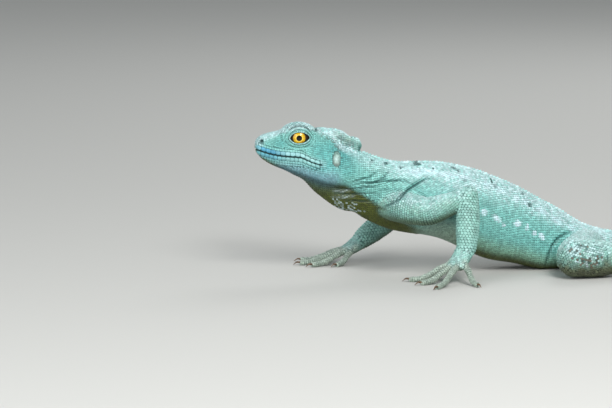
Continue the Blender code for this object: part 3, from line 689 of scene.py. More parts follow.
# Creases of the skin on both sides: points (s, h), depth and half of their width
CREASES = [
    ([(48, 47.2), (52, 48.6), (57, 49.9), (61.3, 53.4)], 0.55, 0.45),
    ([(55.5, 45.9), (59.5, 47.3), (63, 49.6), (66.5, 53.2)], 0.6, 0.45),
    ([(51, 46.4), (57, 47.0), (63.5, 47.6), (71.5, 47.9), (74.5, 46.9), (77.5, 45.3)], 0.8, 0.5),
    ([(62, 33.4), (65, 36.9), (70.3, 41.2), (77.3, 45.2), (80.5, 46.9), (83.5, 48.2), (87, 48.7)], 1.0, 0.6),
    ([(84, 48.4), (87, 48.4), (90, 46.4), (94, 44.3), (97, 43)], 0.4, 0.5),
    ([(76.5, 44.9), (79, 43.0), (82, 40.2), (85, 37.2)], 0.4, 0.5),
    ([(146, 2), (146.3, 6), (147, 9.5), (148.5, 12.9), (151.5, 16.4), (156.5, 18.5), (161, 19.4)], 0.8, 0.7),
    ([(40, 43.6), (47, 43.4), (54, 44.6), (61, 45.4)], 0.5, 0.45),
    ([(38, 41.6), (46, 40.6), (54, 41.2), (62, 41.6)], 0.5, 0.5),
    ([(44, 37.4), (52, 37.2), (60, 37.0)], 0.4, 0.5),
    ([(60, 43.2), (66, 43.6), (71, 43.0)], 0.35, 0.5),
    ([(90, 31), (97, 29.5), (104, 29)], 0.25, 0.7),
]


class Skin:
    """The skin's mesh, with what is known of each point."""

    def __init__(self, voxel):
        forms = skin_forms()
        self.forms = list(forms)
        form_points, quads, caps, owner = joined(closed_rings(rings) for rings in forms.values())
        self.points, faces = remeshed(form_points, quads, caps, voxel)
        self.tris = np.concatenate([faces[:, [0, 1, 2]], faces[:, [0, 2, 3]]])
        tree = kd_tree(form_points)
        self.owner = owner[np.array([tree.find(point)[1] for point in self.points])]
        self.shape_joins()
        self.refine_head()
        self.measure()

    def measure(self):
        """Finds each point's neighbours and normal, its place on the body, and how far it is on the trunk."""
        self.edges = edges_of(self.tris)[0]
        self.normals = normals_of(self.points, self.tris)
        self.s, self.across, self.h = body_place(self.points)
        shoulder = self.of("arm_left_upper", "arm_right_upper") * (self.h > 33) * (1 - fade(self.s, 84, 90))
        trunk = np.maximum(self.of("body", "crest", "lip", "brow", "lid", "throat").astype(float), shoulder)
        self.on_trunk = neighbour_mean(trunk[:, None], self.edges)[:, 0]

    def of(self, *words):
        """Which points come from the forms whose names have one of these words."""
        wanted = [i for i, name in enumerate(self.forms) if any(word in name for word in words)]
        return np.isin(self.owner, wanted)

    def shape_joins(self):
        """Smooths the steps of the remesh, and makes fillets where the forms meet."""
        edges = edges_of(self.tris)[0]
        self.points = softened(self.points, edges, 3)
        s, _, h = body_place(self.points)
        on_body = self.of("body", "crest", "lip", "brow", "lid")
        head = on_body * (1 - fade(s, 46, 56))
        mouth = head * peak(h - mouth_height(s), 2.2) * (s < MOUTH_CORNER + 2)
        weight = np.where(self.of("palm"), 0.7, 1 - 0.6 * head - 0.3 * mouth)
        self.points = filled(self.points, self.tris, edges, 28, np.where(self.of("toe"), 0.35, weight))
        armpit = peak(s - 64, 9) * (np.abs(h - 36) < 14) * (1 - on_body * fade(h, 43, 47))
        self.points = filled(self.points, self.tris, edges, 100, armpit)
        self.points = softened(self.points, edges, 2)

    def refine_head(self):
        """Splits the faces of the head, and those round the eyes once more."""
        for eyes in (False, True):
            s, across, h = body_place(self.points)
            near = (s < 57) & (h > 36) & (s > -10)
            if eyes:
                near = (np.hypot(s - EYE_S, h - EYE_H) < 7.6) & (np.abs(across) > 4)
            whole = near[self.tris].all(axis=1)
            self.points, self.tris, self.owner, mark = refined(
                self.points, self.tris, whole, self.owner, near.astype(float))
            self.points = softened(self.points, edges_of(self.tris)[0], 2, mark)

    def add_details(self):
        """Lids, mouth, nostrils, ears and creases."""
        s, across, h = self.s, self.across, self.h
        body = self.of("body", "crest", "lip", "brow", "lid", "throat")
        mouth_off = h - mouth_height(s)
        in_mouth = body * (1 - fade(s, MOUTH_CORNER - 1.5, MOUTH_CORNER + 1.5))
        rise = (0.12 * peak(np.abs(mouth_off) - 1.0, 0.5) - 0.75 * peak(mouth_off, 0.3)) * in_mouth
        nostril = np.hypot(s - NOSTRIL_S, (h - NOSTRIL_H) * 1.15)
        rise += body * (0.25 * peak(nostril - 1.2, 0.5) - 1.1 * peak(nostril, 0.62))
        ear = ear_share(s, h)
        rim = 0.3 * peak(ear - 1.25, 0.2) + 0.28 * peak(ear, 0.6)
        rise += body * (rim - 0.75 * (1 - fade(ear, 0.82, 1.02)))
        eye_off, turn = lid_distance(s, h)
        inner, outer = lid_grooves(turn)
        near_eye = body * (np.abs(across) > 3.5)
        rise += near_eye * (
            0.22 * peak(eye_off - inner * 0.45, 0.35) - 0.38 * peak(eye_off - inner, 0.2)
            + 0.12 * peak(eye_off - (inner + outer) / 2, 0.35)
            - 0.5 * peak(eye_off - outer, 0.3) * outer_depth(turn))
        creased = np.zeros(len(s))
        for line, depth, width in CREASES:
            away, share = distance_to_line(s, h, line)
            groove = peak(away, width) - 0.35 * peak(away - 2.3 * width, 1.1 * width)
            groove = groove * middle_swell(share) * depth
            creased = np.maximum(creased, groove)
            rise -= self.on_trunk * groove
        self.creased = creased * self.on_trunk
        self.points = self.points + self.normals * rise[:, None]
        self.sink_eyes(eye_off, near_eye)
        self.points[:, 2] = np.maximum(self.points[:, 2], 0.02)

    def sink_eyes(self, eye_off, near_eye):
        """Takes the skin in the opening of the lids back to below the face of the eyeball."""
        s, across, h = body_place(self.points)
        inside = fade(eye_off, 0.1, -0.18) * near_eye
        long, wide, high = EYE_RADII
        room = np.clip(1 - ((s - EYE_S) / long) ** 2 - ((h - EYE_H) / high) ** 2, 0, 1)
        goal = EYE_ACROSS + wide * np.sqrt(room) - 0.7
        inward = np.minimum(goal - np.abs(across), 0) * inside * np.sign(across)
        turn = np.radians(heading(s))
        self.points = self.points + inward[:, None] * np.stack([-np.sin(turn), np.cos(turn), 0 * turn], -1)


# Markings on both sides of the body: s, h, reach along, reach up, turn in degrees
WHITE_SPOTS = [
    (112.5, 31.6, 1.8, 1.5, 0), (119.0, 28.2, 2.4, 1.3, -35), (122.5, 24.8, 0.7, 0.7, 0),
    (130.0, 25.1, 2.1, 1.5, 0), (135.0, 23.1, 0.9, 1.6, -10), (139.0, 19.8, 1.1, 1.4, 0),
    (143.0, 18.0, 1.1, 2.1, 35),
]
PALE_STREAKS = [
    (115.5, 44.5, 1.9, 1.3, -20), (123.0, 41.2, 3.4, 1.2, -28), (131.0, 36.9, 1.5, 1.5, -20),
    (136.0, 34.5, 2.3, 1.2, -35), (144.5, 30.0, 3.0, 1.3, -38), (152.5, 24.8, 3.6, 1.4, -38),
    (160.5, 20.7, 2.2, 1.2, -30), (79.0, 51.7, 4.0, 1.5, 0), (86.5, 51.4, 3.8, 1.1, 0),
    (94.5, 49.9, 3.8, 1.2, -8), (103.0, 48.6, 3.0, 1.0, -14),
]
DARK_MARKS = [
    (81.0, 54.8, 2.0, 0.6, 0), (99.5, 52.6, 1.1, 0.5, -20), (101.5, 51.2, 0.9, 0.5, -30),
    (104.0, 46.9, 0.8, 0.7, 0), (65.0, 55.8, 1.1, 0.5, 0), (119.0, 45.7, 0.6, 1.1, 0),
    (120.5, 43.1, 0.7, 0.7, 0), (135.0, 38.8, 0.8, 0.5, 0), (138.0, 33.5, 1.3, 0.8, -20),
    (30.5, 72.7, 0.9, 0.7, -40), (72.0, 53.6, 0.7, 0.5, 0), (88.5, 52.8, 0.7, 0.4, 0),
    (58.0, 57.4, 0.8, 0.4, 0),
]
# Painted shade in the hollows and folds of the crest, in the same columns.
CREST_SHADED_HOLLOWS = [(47.6, 65.2, 3.0, 1.8, -10), (51.8, 63.4, 1.0, 2.2, 0), (43, 68.5, 2.5, 1.2, -25)]
# Lines of markings as (s, h): the lower edge of the head's pale top, the pale folds of the
# throat, and the brown line behind the eye
PALE_EDGE = [
    (0, 64.0), (4, 66.4), (9, 68.6), (13, 70.4), (17, 71.8), (23, 73.2), (28, 72.4), (31, 71.0), (33, 70.2),
    (38.4, 67.6), (42.5, 63.0), (47, 60.5), (56, 58),
]
PALE_FOLDS = [[(38.5, 42.4), (44, 42.2), (50, 43.2)], [(38, 39.3), (44, 39.0), (50, 39.7)]]
RUST_LINE = [(33, 70.4), (36, 69.3), (38.4, 67.9), (40.5, 65.5), (42.5, 62.7)]

# The colours that are mixed into the ground colour, for the marks and for the painted light and
# shade, in the order they are laid on. The olive colour is painted shade; dark serves both dark
# flecks and painted shade; rust also browns the painted shade on the knees; pale and sand also
# carry painted light.
GROUND = (0.215, 0.53, 0.48)
COLOURS = {
    "teal": (0.085, 0.38, 0.37), "pale": (0.52, 0.72, 0.74), "sage": (0.24, 0.42, 0.29),
    "grey": (0.31, 0.57, 0.51), "olive_shade": (0.062, 0.078, 0.010), "sand": (0.40, 0.46, 0.39),
    "blue": (0.035, 0.26, 0.46), "white": (0.66, 0.84, 0.92), "rust": (0.13, 0.085, 0.06),
    "dark": (0.012, 0.075, 0.07),
}
COLUMN = {name: column for column, name in enumerate(COLOURS)}


def blots(s, h, table, edge=0.25):
    """How much of a marking made of ellipses each place has."""
    amount = np.zeros(len(s))
    for middle_s, middle_h, along, up, degrees in table:
        cos, sin = math.cos(math.radians(degrees)), math.sin(math.radians(degrees))
        x, y = s - middle_s, h - middle_h
        far = np.hypot((x * cos + y * sin) / along, (y * cos - x * sin) / up)
        amount = np.maximum(amount, 1 - fade(far, 1 - edge, 1 + edge))
    return amount


def markings_and_painted_light(skin):
    """The share of each colour, painted light and shade too, at each point of the skin, as an array with a column
    for each.
    """
    s, across, h, points, up = skin.s, skin.across, skin.h, skin.points, skin.normals[:, 2]
    depth = (h - underside(s)) / np.maximum(back(s) - underside(s), 1)
    trunk, throat, crest, palm = skin.on_trunk, skin.of("throat"), skin.of("crest"), skin.of("palm")
    arm, leg, lower = skin.of("arm"), skin.of("leg"), skin.of("lower") & ~skin.of("lip")
    head, tail, limb = trunk * (1 - fade(s, 44, 56)), trunk * fade(s, 160, 200), arm | leg
    uneven = ripple(points, 9, 1) * 0.5 + ripple(points, 3.5, 2) * 0.5
    # Where painted light reflected up from below lightens the chest: sand on its lower part, and less painted
    # shade.
    chest_bounce_light = peak(s - 93, 12, 4)
    # The upward faces of the upper body, which take painted light.
    top = fade(depth, 0.56, 0.92) * fade(up, 0.08, 0.68)
    rear = fade(s, 220, 320)
    mix = {name: np.zeros(len(s)) for name in COLOURS}
    mix["teal"] = trunk * (0.8 + 0.3 * uneven) * (
        0.9 * peak(h - 60, 9.5, 4) * fade(s, 23, 33) * (1 - fade(s, 44, 60))
        + 0.6 * peak(s - 12, 6) * peak(h - 66, 3)
        + 0.35 * (1 - fade(np.abs(depth - 0.5), 0.15, 0.4)) * fade(s, 60, 95) * (1 - fade(s, 150, 175)))
    # Pale: painted light on the upward faces of the back, the tail and the legs, and painted light reflected up
    # from below behind the arm; on the head, the pale top above its lower edge.
    mix["pale"] = (
        trunk * (1 - head) * top * (0.8 + 0.25 * uneven) * (1 - 0.3 * peak(s - 58, 12, 4))
        + head * fade(h - smooth(PALE_EDGE)(s), -0.5, 1.8) * (0.8 + 0.2 * uneven)
        + tail * 0.95 * fade(up, -0.3, 0.5) * (1 - 0.5 * rear)
        + 0.2 * trunk * peak(s - 97, 9) * peak(h - 43, 6)
        + limb * (0.22 + 0.46 * fade(up, -0.2, 0.7)))
    # Sage on the legs and the tail, with less of it on their upward faces as part of the painted light there; and
    # on the lower flanks from the shoulders back.
    mix["sage"] = (
        limb * (0.34 + 0.2 * uneven) * (1 - 0.65 * fade(up, 0.2, 0.8))
        + tail * (0.3 + 0.2 * uneven) * (1 - 0.75 * fade(up, 0.0, 0.6) * (1 - rear))
        + trunk * (1 - head) * (1 - fade(depth, 0.12, 0.34)) * fade(s, 70, 100) * 0.8)
    mix["grey"] = 0.75 * lower * arm + 0.35 * lower * leg + 0.5 * palm
    # Painted shade in olive: the throat, the downward faces of the legs and a band along the belly, with less of
    # it on the chest, where painted light comes up from below.
    mix["olive_shade"] = (
        throat * (0.95 + 0.1 * uneven) * (1 - fade(s, 60, 80) * 0.6) + limb * fade(-up, 0.2, 0.8) * 0.75
        + trunk * (1 - fade(depth, 0.04, 0.17)) * (1 - 0.3 * fade(s, 180, 300)) * (1 - 0.7 * chest_bounce_light))
    # Sand on the toes, and on the lower chest as painted light reflected up from below.
    mix["sand"] = 0.85 * skin.of("toe") + 0.45 * trunk * chest_bounce_light * (1 - fade(depth, 0.2, 0.45))
    for name in mix:
        value = mix[name][:, None]
        if name in ("pale", "sage", "olive_shade"):
            value = np.clip(value, 0, 1)
        for _ in range(5):
            value = neighbour_mean(value, skin.edges)
        mix[name] = value[:, 0]

    def lay(name, amount):
        mix[name] = np.maximum(mix[name], amount)

    mouth_off = h - mouth_height(s)
    lips = trunk * (1 - 0.75 * fade(s, 8, 17)) * (1 - fade(s, 18, 30)) * fade(s, 0.5, 3)
    lay("blue", lips * (0.8 * peak(mouth_off - 1.2, 1.1) + 0.55 * peak(mouth_off + 1.6, 1.3)))
    lay("pale", 0.4 * trunk * fade(s, 8, 17) * (1 - fade(s, 33, 37)) * peak(mouth_off - 0.6, 2.2, 4))
    spots = 0.85 * blots(s, h, WHITE_SPOTS) + 0.5 * blots(s, h, PALE_STREAKS, 0.6)
    lay("white", trunk * np.clip(spots, 0, 1))
    lay("dark", 0.85 * trunk * blots(s, h, DARK_MARKS, 0.3) * fade(up, -0.2, 0.1))
    away, _ = distance_to_line(s, h, RUST_LINE)
    lay("rust", 0.6 * trunk * peak(away, 0.8) * fade(ripple(points, 1.6, 5), -0.1, 0.3))
    # Painted shade in the creases of the skin, as deep as the grooves.
    lay("dark", np.clip(skin.creased * 1.15, 0, 0.8))
    # Painted shade in the two grooves round each eye, deepest under the brow, with the dark edge of the lids,
    # heavier along the upper lid.
    eye_off, turn = lid_distance(s, h)
    inner, outer = lid_grooves(turn)
    grooves = np.maximum(0.8 * peak(eye_off - inner, 0.24), outer_depth(turn) * peak(eye_off - outer, 0.4))
    edge = peak(eye_off + 0.05, 0.28) * (0.5 + 0.5 * fade(np.sin(turn), -0.2, 0.4))
    lay("dark", trunk * 0.9 * np.maximum(grooves, edge) * (np.abs(across) > 3.5))
    # Painted shade in the slit of the mouth.
    lay("dark", trunk * peak(mouth_off, 0.4) * (1 - fade(s, 32, 35)))
    # Painted shade in the nostrils.
    lay("dark", trunk * 0.9 * peak(np.hypot(s - NOSTRIL_S, h - NOSTRIL_H), 0.75, 4))
    lay("pale", 0.75 * trunk * (1 - fade(s, 2, 6)) * fade(h, 63, 66))
    ear = ear_share(s, h)
    drum = trunk * (1 - fade(ear, 0.85, 1.0))
    for name, share in (("teal", 0.0), ("pale", 0.12), ("sage", 0.0), ("sand", 0.5)):
        mix[name] = np.where(drum > 0, share, mix[name])
    lay("white", 0.3 * drum * (1 - fade(ear, 0.1, 0.5)))
    lay("dark", 0.75 * drum * fade(ear + 0.2 * ripple(points, 1.5, 7), 0.3, 0.85))
    lay("rust", drum * 0.6 * (1 - fade(h, EAR_H - 3.0, EAR_H - 0.8)))
    lay("pale", trunk * peak(eye_off - 0.45, 0.22) * (0.55 + 0.35 * fade(-np.sin(turn), -0.2, 0.5)))
    jaw = trunk * fade(s, 6, 14) * (1 - fade(s, 38, 46)) * peak(mouth_off + 7.5, 4.5)
    lay("blue", 0.36 * jaw)
    lay("pale", 0.52 * jaw)
    # Painted shade, dark sage, in the hollow under the crest's rear lobe.
    crest_hollow_shade = trunk * peak(s - 46.5, 2.4) * peak(h - 67.6, 1.4)
    lay("sage", 0.7 * crest_hollow_shade)
    lay("dark", 0.35 * crest_hollow_shade)
    rim = crest * fade(h - smooth(CREST_TOP)(s), -1.9, -0.6)
    lay("pale", 0.85 * rim)
    for line in PALE_FOLDS:
        away, share = distance_to_line(s, h, line)
        lay("white", 0.28 * throat * peak(away, 0.7) * middle_swell(share))
    # Painted shade, olive and rust-brown, on the lower part of each knee.
    knee = leg * (np.abs(points[:, 0] - 50) < 16) * (np.abs(across) > 30)
    low = knee * (1 - fade(h + 1.5 * ripple(points, 5, 12), 4.5, 12.5))
    lay("olive_shade", 0.85 * low)
    lay("rust", 0.35 * low)
    # Painted light: the legs paler on their upper parts, above about 13 to 19 mm; the palms a little paler.
    mix["pale"] = mix["pale"] + 0.4 * leg * fade(h, 13, 19) + 0.1 * palm
    # Greener sides of the crest, with painted shade over them, heavier in its hollows and folds.
    sides = crest * (1 - rim) * fade(s, 36, 42)
    lay("sage", 0.3 * sides)
    lay("teal", 0.3 * sides)
    lay("dark", sides * (0.12 + 0.55 * blots(s, h, CREST_SHADED_HOLLOWS, 0.7)))
    return np.clip(np.stack(list(mix.values()), -1), 0, 1)


def set_attributes(mesh, shares, **more):
    """The colours' shares, and other numbers, at each point of a mesh, which its material reads."""
    for name, values in (*zip(COLOURS, shares.T), *more.items()):
        attribute = mesh.attributes.new(name, "FLOAT", "POINT")
        attribute.data.foreach_set("value", np.ascontiguousarray(values, np.float32))


def put(tree, node, inputs):
    """Gives a node's inputs their sockets, numbers or colours."""
    for key, value in inputs.items():
        if isinstance(value, bpy.types.NodeSocket):
            tree.links.new(value, node.inputs[key])
        else:
            node.inputs[key].default_value = value if np.isscalar(value) else (*value, 1)


def new_node(tree, kind, inputs, **settings):
    """Adds a node, and gives its outputs."""
    node = tree.nodes.new(f"ShaderNode{kind}")
    for key, value in settings.items():
        setattr(node, key, value)
    put(tree, node, inputs)
    return node.outputs


def new_material(name, inputs):
    material = bpy.data.materials.new(name)
    material.use_nodes = True
    shader = material.node_tree.nodes["Principled BSDF"]
    put(material.node_tree, shader, inputs)
    return material, material.node_tree, shader


def read_attribute(tree, name):
    return new_node(tree, "Attribute", {}, attribute_name=name)["Fac"]


def mixed(tree, share, first, second, blend="MIX"):
    inputs = {"Factor": share, "A": first, "B": second}
    return new_node(tree, "Mix", inputs, data_type="RGBA", blend_type=blend)["Result"]


def texture(tree, kind, scale, **inputs):
    """A procedural texture in the object's own metres, with scale in features for each millimetre."""
    spot = new_node(tree, "TexCoord", {})["Object"]
    return new_node(tree, kind, {"Scale": scale / MM, "Vector": spot, **inputs})


def bumped(tree, shader, height, distance):
    """Fine relief from a height socket. distance is in millimetres."""
    bump = new_node(tree, "Bump", {"Distance": distance * MM, "Strength": 1.0, "Height": height})
    put(tree, shader, {"Normal": bump["Normal"]})


def ramp(tree, value, stops):
    node = tree.nodes.new("ShaderNodeValToRGB")
    put(tree, node, {"Fac": value})
    elements = node.color_ramp.elements
    while len(elements) < len(stops):
        elements.new(0.5)
    for element, (position, colour) in zip(elements, stops):
        element.position = position
        element.color = (colour, colour, colour, 1) if np.isscalar(colour) else (*colour, 1)
    return node.outputs["Color"]


def skin_material(name, coat):
    """Scaly skin in the colours of the marks and of the painted light and shade. The coat's scales vary,
    and the skin in the gaps is darker.
    """
    inputs = {"Roughness": 0.42 if coat else 0.55, "Specular IOR Level": 0.35}
    material, tree, shader = new_material(name, inputs)
    colour = GROUND
    for marking, value in COLOURS.items():
        colour = mixed(tree, read_attribute(tree, marking), colour, value)
    mottle = texture(tree, "TexNoise", 0.9, Detail=3.0)["Fac"]
    colour = mixed(tree, 0.6, colour, ramp(tree, mottle, [(0.35, 0.72), (0.65, 1.0)]), "MULTIPLY")
    own = read_attribute(tree, "own") if coat else (0.30, 0.36, 0.36)
    put(tree, shader, {"Base Color": mixed(tree, 1.0, colour, own, "MULTIPLY")})
    scale, depth = (3.2, 0.02) if coat else (1.1, 0.08)
    bumped(tree, shader, texture(tree, "TexVoronoi", scale)["Distance"], depth)
    return material


class Places:
    """Where scales go: roots, the way they lie, the way out, their pitch, their place on an unwrap and
    their colours."""

    def __init__(self, *parts):
        self.parts = parts
        self.root, self.way, self.out, self.pitch, self.chart, self.shares = parts

    def only(self, chosen):
        return Places(*(values[chosen] for values in self.parts))


ROW_SHARE = 0.84


def rows_on(surface, start, end, pitch_at):
    """Places in rows round a long form, each row half a step on from the one before."""
    turns = math.pi / 2 + np.linspace(0, FULL_TURN, 121)
    groups, along, odd = [], start, 0
    while along < end:
        ring = surface.at(np.full(121, along), turns)
        run = run_of(ring)
        count = max(6, round(run[-1] / float(pitch_at(along))))
        share = (np.arange(count) + 0.5 * odd) / count
        turn = np.interp(share * run[-1], run, turns)
        here = surface.at(np.full(count, along), turn)
        way = unit(surface.at(np.full(count, along + 0.4), turn) - here)
        out = unit(np.cross(way, surface.at(np.full(count, along), turn + 0.02) - here))
        off = here - ring.mean(axis=0)
        out *= np.sign((off * out).sum(axis=1))[:, None]
        chart = np.stack([np.full(count, along / surface.length), share], -1)
        groups.append((here, way, out, np.full(count, run[-1] / count), chart, np.linalg.norm(off, axis=1)))
        along += float(pitch_at(along)) * ROW_SHARE
        odd = 1 - odd
    return [np.concatenate(values) for values in zip(*groups)]


class Ground:
    """The finished skin, to plant scales on. taken has the place, the way and the size of all on it."""

    def __init__(self, skin, shares):
        self.skin, self.shares = skin, shares
        self.tree = BVHTree.FromPolygons(skin.points.tolist(), skin.tris.tolist())
        self.taken = np.zeros((0, 7))

    def planted(self, root, way, out, pitch, chart, reach, least=0.62):
        """These places moved on to the skin, without those that it covers or that crowd others."""
        taken = kd_tree(self.taken[:, :3])
        hits, kept = [], []
        for i, (point, direction, down) in enumerate(zip(root, out, np.minimum(1.5, reach * 0.6))):
            outward = Vector(direction)
            spot, normal, face, _ = self.tree.ray_cast(Vector(point - direction * down), outward, down + 2.2)
            if face is None or normal.dot(outward) <= 0.3:
                continue
            if not len(self.taken) or taken.find(spot)[2] >= least * pitch[i]:
                hits.append((*spot, *normal, face))
                kept.append(i)
        return self.settled(np.array(hits), way[kept], pitch[kept], chart[kept])

    def settled(self, hits, way, pitch, chart):
        """Places with their way laid along the skin, and the ground that they take."""
        corners = self.skin.tris[hits[:, 6].astype(int)]
        out = unit(self.skin.normals[corners].mean(axis=1))
        way = unit(way - out * (way * out).sum(axis=1)[:, None])
        self.take(hits[:, :3], way, pitch)
        return Places(hits[:, :3], way, out, pitch, chart, self.shares[corners].mean(axis=1))

    def take(self, points, way, pitch):
        rows = np.concatenate([points, way, np.broadcast_to(pitch, len(points))[:, None]], 1)
        self.taken = np.concatenate([self.taken, rows])

    def beside(self, s, h, side):
        """The places on one side of the head at (s, h), from rays that come in level."""
        hits = []
        for one_s, one_h in zip(np.ravel(s), np.ravel(h)):
            turn = math.radians(float(heading(one_s)))
            across = Vector((-math.sin(turn), math.cos(turn), 0)) * side
            start = Vector(place(one_s, 0, one_h)) + across * 30
            spot, normal, face, _ = self.tree.ray_cast(start, -across, 40)
            if face is None:
                spot, normal, face, _ = self.tree.find_nearest(start - across * 30)
            hits.append((*spot, *normal, face))
        return np.array(hits)


PATCH = 0.003
MOST_SCALES = 7000

# A six-sided scale seen from above: x along its lie, with the rear tip first, and y across it
RIM_X = 0.5 * np.cos(np.radians(60 * np.arange(6)))
RIM_Y = 0.5 * np.sin(np.radians(60 * np.arange(6))) / math.sin(math.radians(60))
RIM_LIFT = np.array([1.0, 0.45, -0.1, -0.3, -0.1, 0.45])
RIDGE_X = np.array([0.27, 0.0, -0.27])
SCALE_FACES = (
    np.array([
        (0, 1, 6), (1, 7, 6), (1, 2, 7), (2, 8, 7), (2, 3, 8), (0, 6, 5), (5, 6, 7), (5, 7, 4), (4, 7, 8),
        (4, 8, 3),
    ]),
    np.array([(k, k + 9, (k + 1) % 6 + 9, (k + 1) % 6) for k in range(6)]),
    np.array([[14, 13, 12, 11, 10, 9]]),
)


def scales(name, slot, places, seed, high, long=1.08, wide=0.9, lift=0.3, point=0.15, keel=1.0, speckle=0.3):
    """One mesh of small scales. Its sizes are shares of the pitch: high at the ridge, long and wide, how
    far the rear edge lifts, how far its tip stands out, and the height of the keel's rear. speckle is how
    much the scales differ in colour."""
    rng = np.random.default_rng(seed)
    count = len(places.root)
    looks = (high, long, wide, lift, point, keel, speckle)
    high, long, wide, lift, point, keel, speckle = (np.broadcast_to(value, count) for value in looks)
    size = rng.uniform(0.93, 1.05, count) * places.pitch
    spin = rng.normal(0, 0.07, count)
    side = np.cross(places.out, places.way)
    way = places.way * np.cos(spin)[:, None] + side * np.sin(spin)[:, None]
    side = np.cross(places.out, way)
    rim_x = np.tile(RIM_X, (count, 1))
    rim_x[:, 0] *= 1 + point
    rise = (0.3 + RIM_LIFT[None] * lift[:, None]) * high[:, None]
    ridge_rise = np.stack([high * (keel + 0.35 * lift), high, high * 0.75], -1)
    x = np.concatenate([rim_x, np.tile(RIDGE_X, (count, 1)), rim_x * 0.9], 1) * (long * size)[:, None]
    y = np.concatenate([RIM_Y, 0 * RIDGE_X, RIM_Y * 0.9])[None] * (wide * size)[:, None]
    z = np.concatenate([rise, ridge_rise, np.full((count, 6), -0.3)], 1) * size[:, None]
    points = places.root[:, None] + way[:, None] * x[..., None] + side[:, None] * y[..., None]
    points += places.out[:, None] * z[..., None]
    points[..., 2] = np.maximum(points[..., 2], 0.0)
    corners = points.shape[1]
    spread = np.stack([x / (long * size)[:, None], y / (wide * size)[:, None]], -1)
    patches = places.chart[:, None] + spread * PATCH
    first = (np.arange(count) * corners)[:, None, None]
    faces = [(part[None] + first).reshape(-1, part.shape[1]) for part in SCALE_FACES]
    own = np.repeat(rng.uniform(0.72, 1.16, count), corners)
    shares, pale, white = places.shares.copy(), COLUMN["pale"], COLUMN["white"]
    shares[:, pale] = np.clip(shares[:, pale] * (1 + 2 * speckle * rng.uniform(-1, 1, count)), 0, 1)
    shares[:, white] = np.clip(shares[:, white] * rng.uniform(1 - speckle, 1 + speckle, count), 0, 1)
    shares = np.repeat(shares, corners, 0)
    coat_piece(name, slot, points.reshape(-1, 3), faces, patches.reshape(-1, 2), shares, own)


def coat_piece(name, slot, points, faces, patches, shares, own):
    """A mesh object of the coat with its unwrap and its colours."""
    mesh = mesh_of(name, points, *faces)
    layer = mesh.uv_layers.new(name="OFBake")
    corners = np.concatenate([f.ravel() for f in faces])
    layer.data.foreach_set("uv", patches[corners].astype(np.float32).ravel())
    set_attributes(mesh, shares, own=own)
    mesh.shade_smooth()
    mesh.set_sharp_from_angle(angle=math.radians(48))
    add_piece(name, mesh, COAT, slot)


def dressed(name, slot, places, **looks):
    """The scales of a region, in as many pieces as their count asks for."""
    count = math.ceil(len(places.root) / MOST_SCALES)
    for number, chosen in enumerate(np.array_split(np.arange(len(places.root)), count), 1):
        own = {key: value[chosen] if np.ndim(value) else value for key, value in looks.items()}
        suffix = f"_{number}" if count > 1 else ""
        scales(f"scales_{name}{suffix}", slot, places.only(chosen), len(name) * 10 + number, **own)


# A plate's rings from its base to its top: the share of its size, and of its height
PLATE_PROFILE = [(0.92, -0.3), (1.0, 0.0), (0.96, 0.55), (0.82, 0.88), (0.5, 1.0)]


def plates(name, ground, table, high, corner=0.55, plain=True, around=12):
    """Low pillow-shaped plates on both sides of the head. table has each one's (s, h) and half sizes,
    and a plain one has the colour at its middle all over."""
    turn = FULL_TURN * (np.arange(around) + 0.5) / around
    square = np.stack([np.sign(wave) * np.abs(wave) ** corner for wave in (np.cos(turn), np.sin(turn))], -1)
    spread = np.concatenate([np.tile(square, (len(PLATE_PROFILE), 1)), np.zeros((2, 2))]) * PATCH / 2
    rng = np.random.default_rng(len(table))
    parts, patches, own, shares = [], [], [], []
    for (_, side), (s, h, long, tall) in itertools.product(SIDES, table):
        slope = (mouth_height(s + 0.5) - mouth_height(s - 0.5)) if s < MOUTH_CORNER else 0
        rings, under = [], []
        for size, rise in PLATE_PROFILE:
            along = square[:, 0] * long * size
            hits = ground.beside(s + along, h + square[:, 1] * tall * size + slope * along, side)
            rings.append(hits[:, :3] + hits[:, 3:6] * rise * high)
            under.extend(hits[:, 6].astype(int))
        points, quads, caps = closed_rings(np.array(rings))
        middle = ground.beside(s, h, side)[0]
        points[-1] = middle[:3] + middle[3:6] * high
        ground.take(points[:2 * around:2], np.tile((1.0, 0.0, 0.0), (around, 1)), 0.9)
        parts.append((points, quads, caps))
        patches.append((s / 60, 0.25 + 0.5 * (side > 0) + (h - 50) / 120) + spread)
        own.append(np.full(len(points), rng.uniform(0.88, 1.06)))
        under += [under[0], int(middle[6])]
        if plain:
            under = [under[-1]] * len(under)
        shares.append(ground.shares[ground.skin.tris[under]].mean(axis=1))
    points, quads, caps, _ = joined(parts)
    coat_piece(name, "head_skin", points, [quads, caps], *(np.concatenate(v) for v in (patches, shares, own)))


def dress_lips(ground):
    """The row of plates along each lip, a finer row beside each, and the ear drums."""
    table = []
    for first, step, offset, tall in ((1.9, 2.45, 1.38, 0.93), (1.9, 2.1, -1.36, 0.9)):
        for s in np.arange(first, MOUTH_CORNER - 1.5, step):
            small = 1 - 0.25 * fade(s, 20, 32)
            table.append((s, float(mouth_height(s)) + offset * small, step * 0.485, tall * small))
    plates("lip_plates", ground, table, 0.3)
    table = []
    for offset, end in ((2.95, 26), (-2.9, 31), (-4.15, 24)):
        for s in np.arange(2.6, end, 1.3):
            small = 1 - 0.3 * fade(s, end - 8, end)
            h = float(mouth_height(s)) + offset * (1 - 0.12 * fade(s, 20, 32))
            table.append((s, h, 0.63, 0.56 * small))
    plates("lip_beads", ground, table, 0.22)
    plates("ear_drums", ground, [(EAR_S, EAR_H, 2.0, 3.55)], 0.1, 1.0, False, 30)


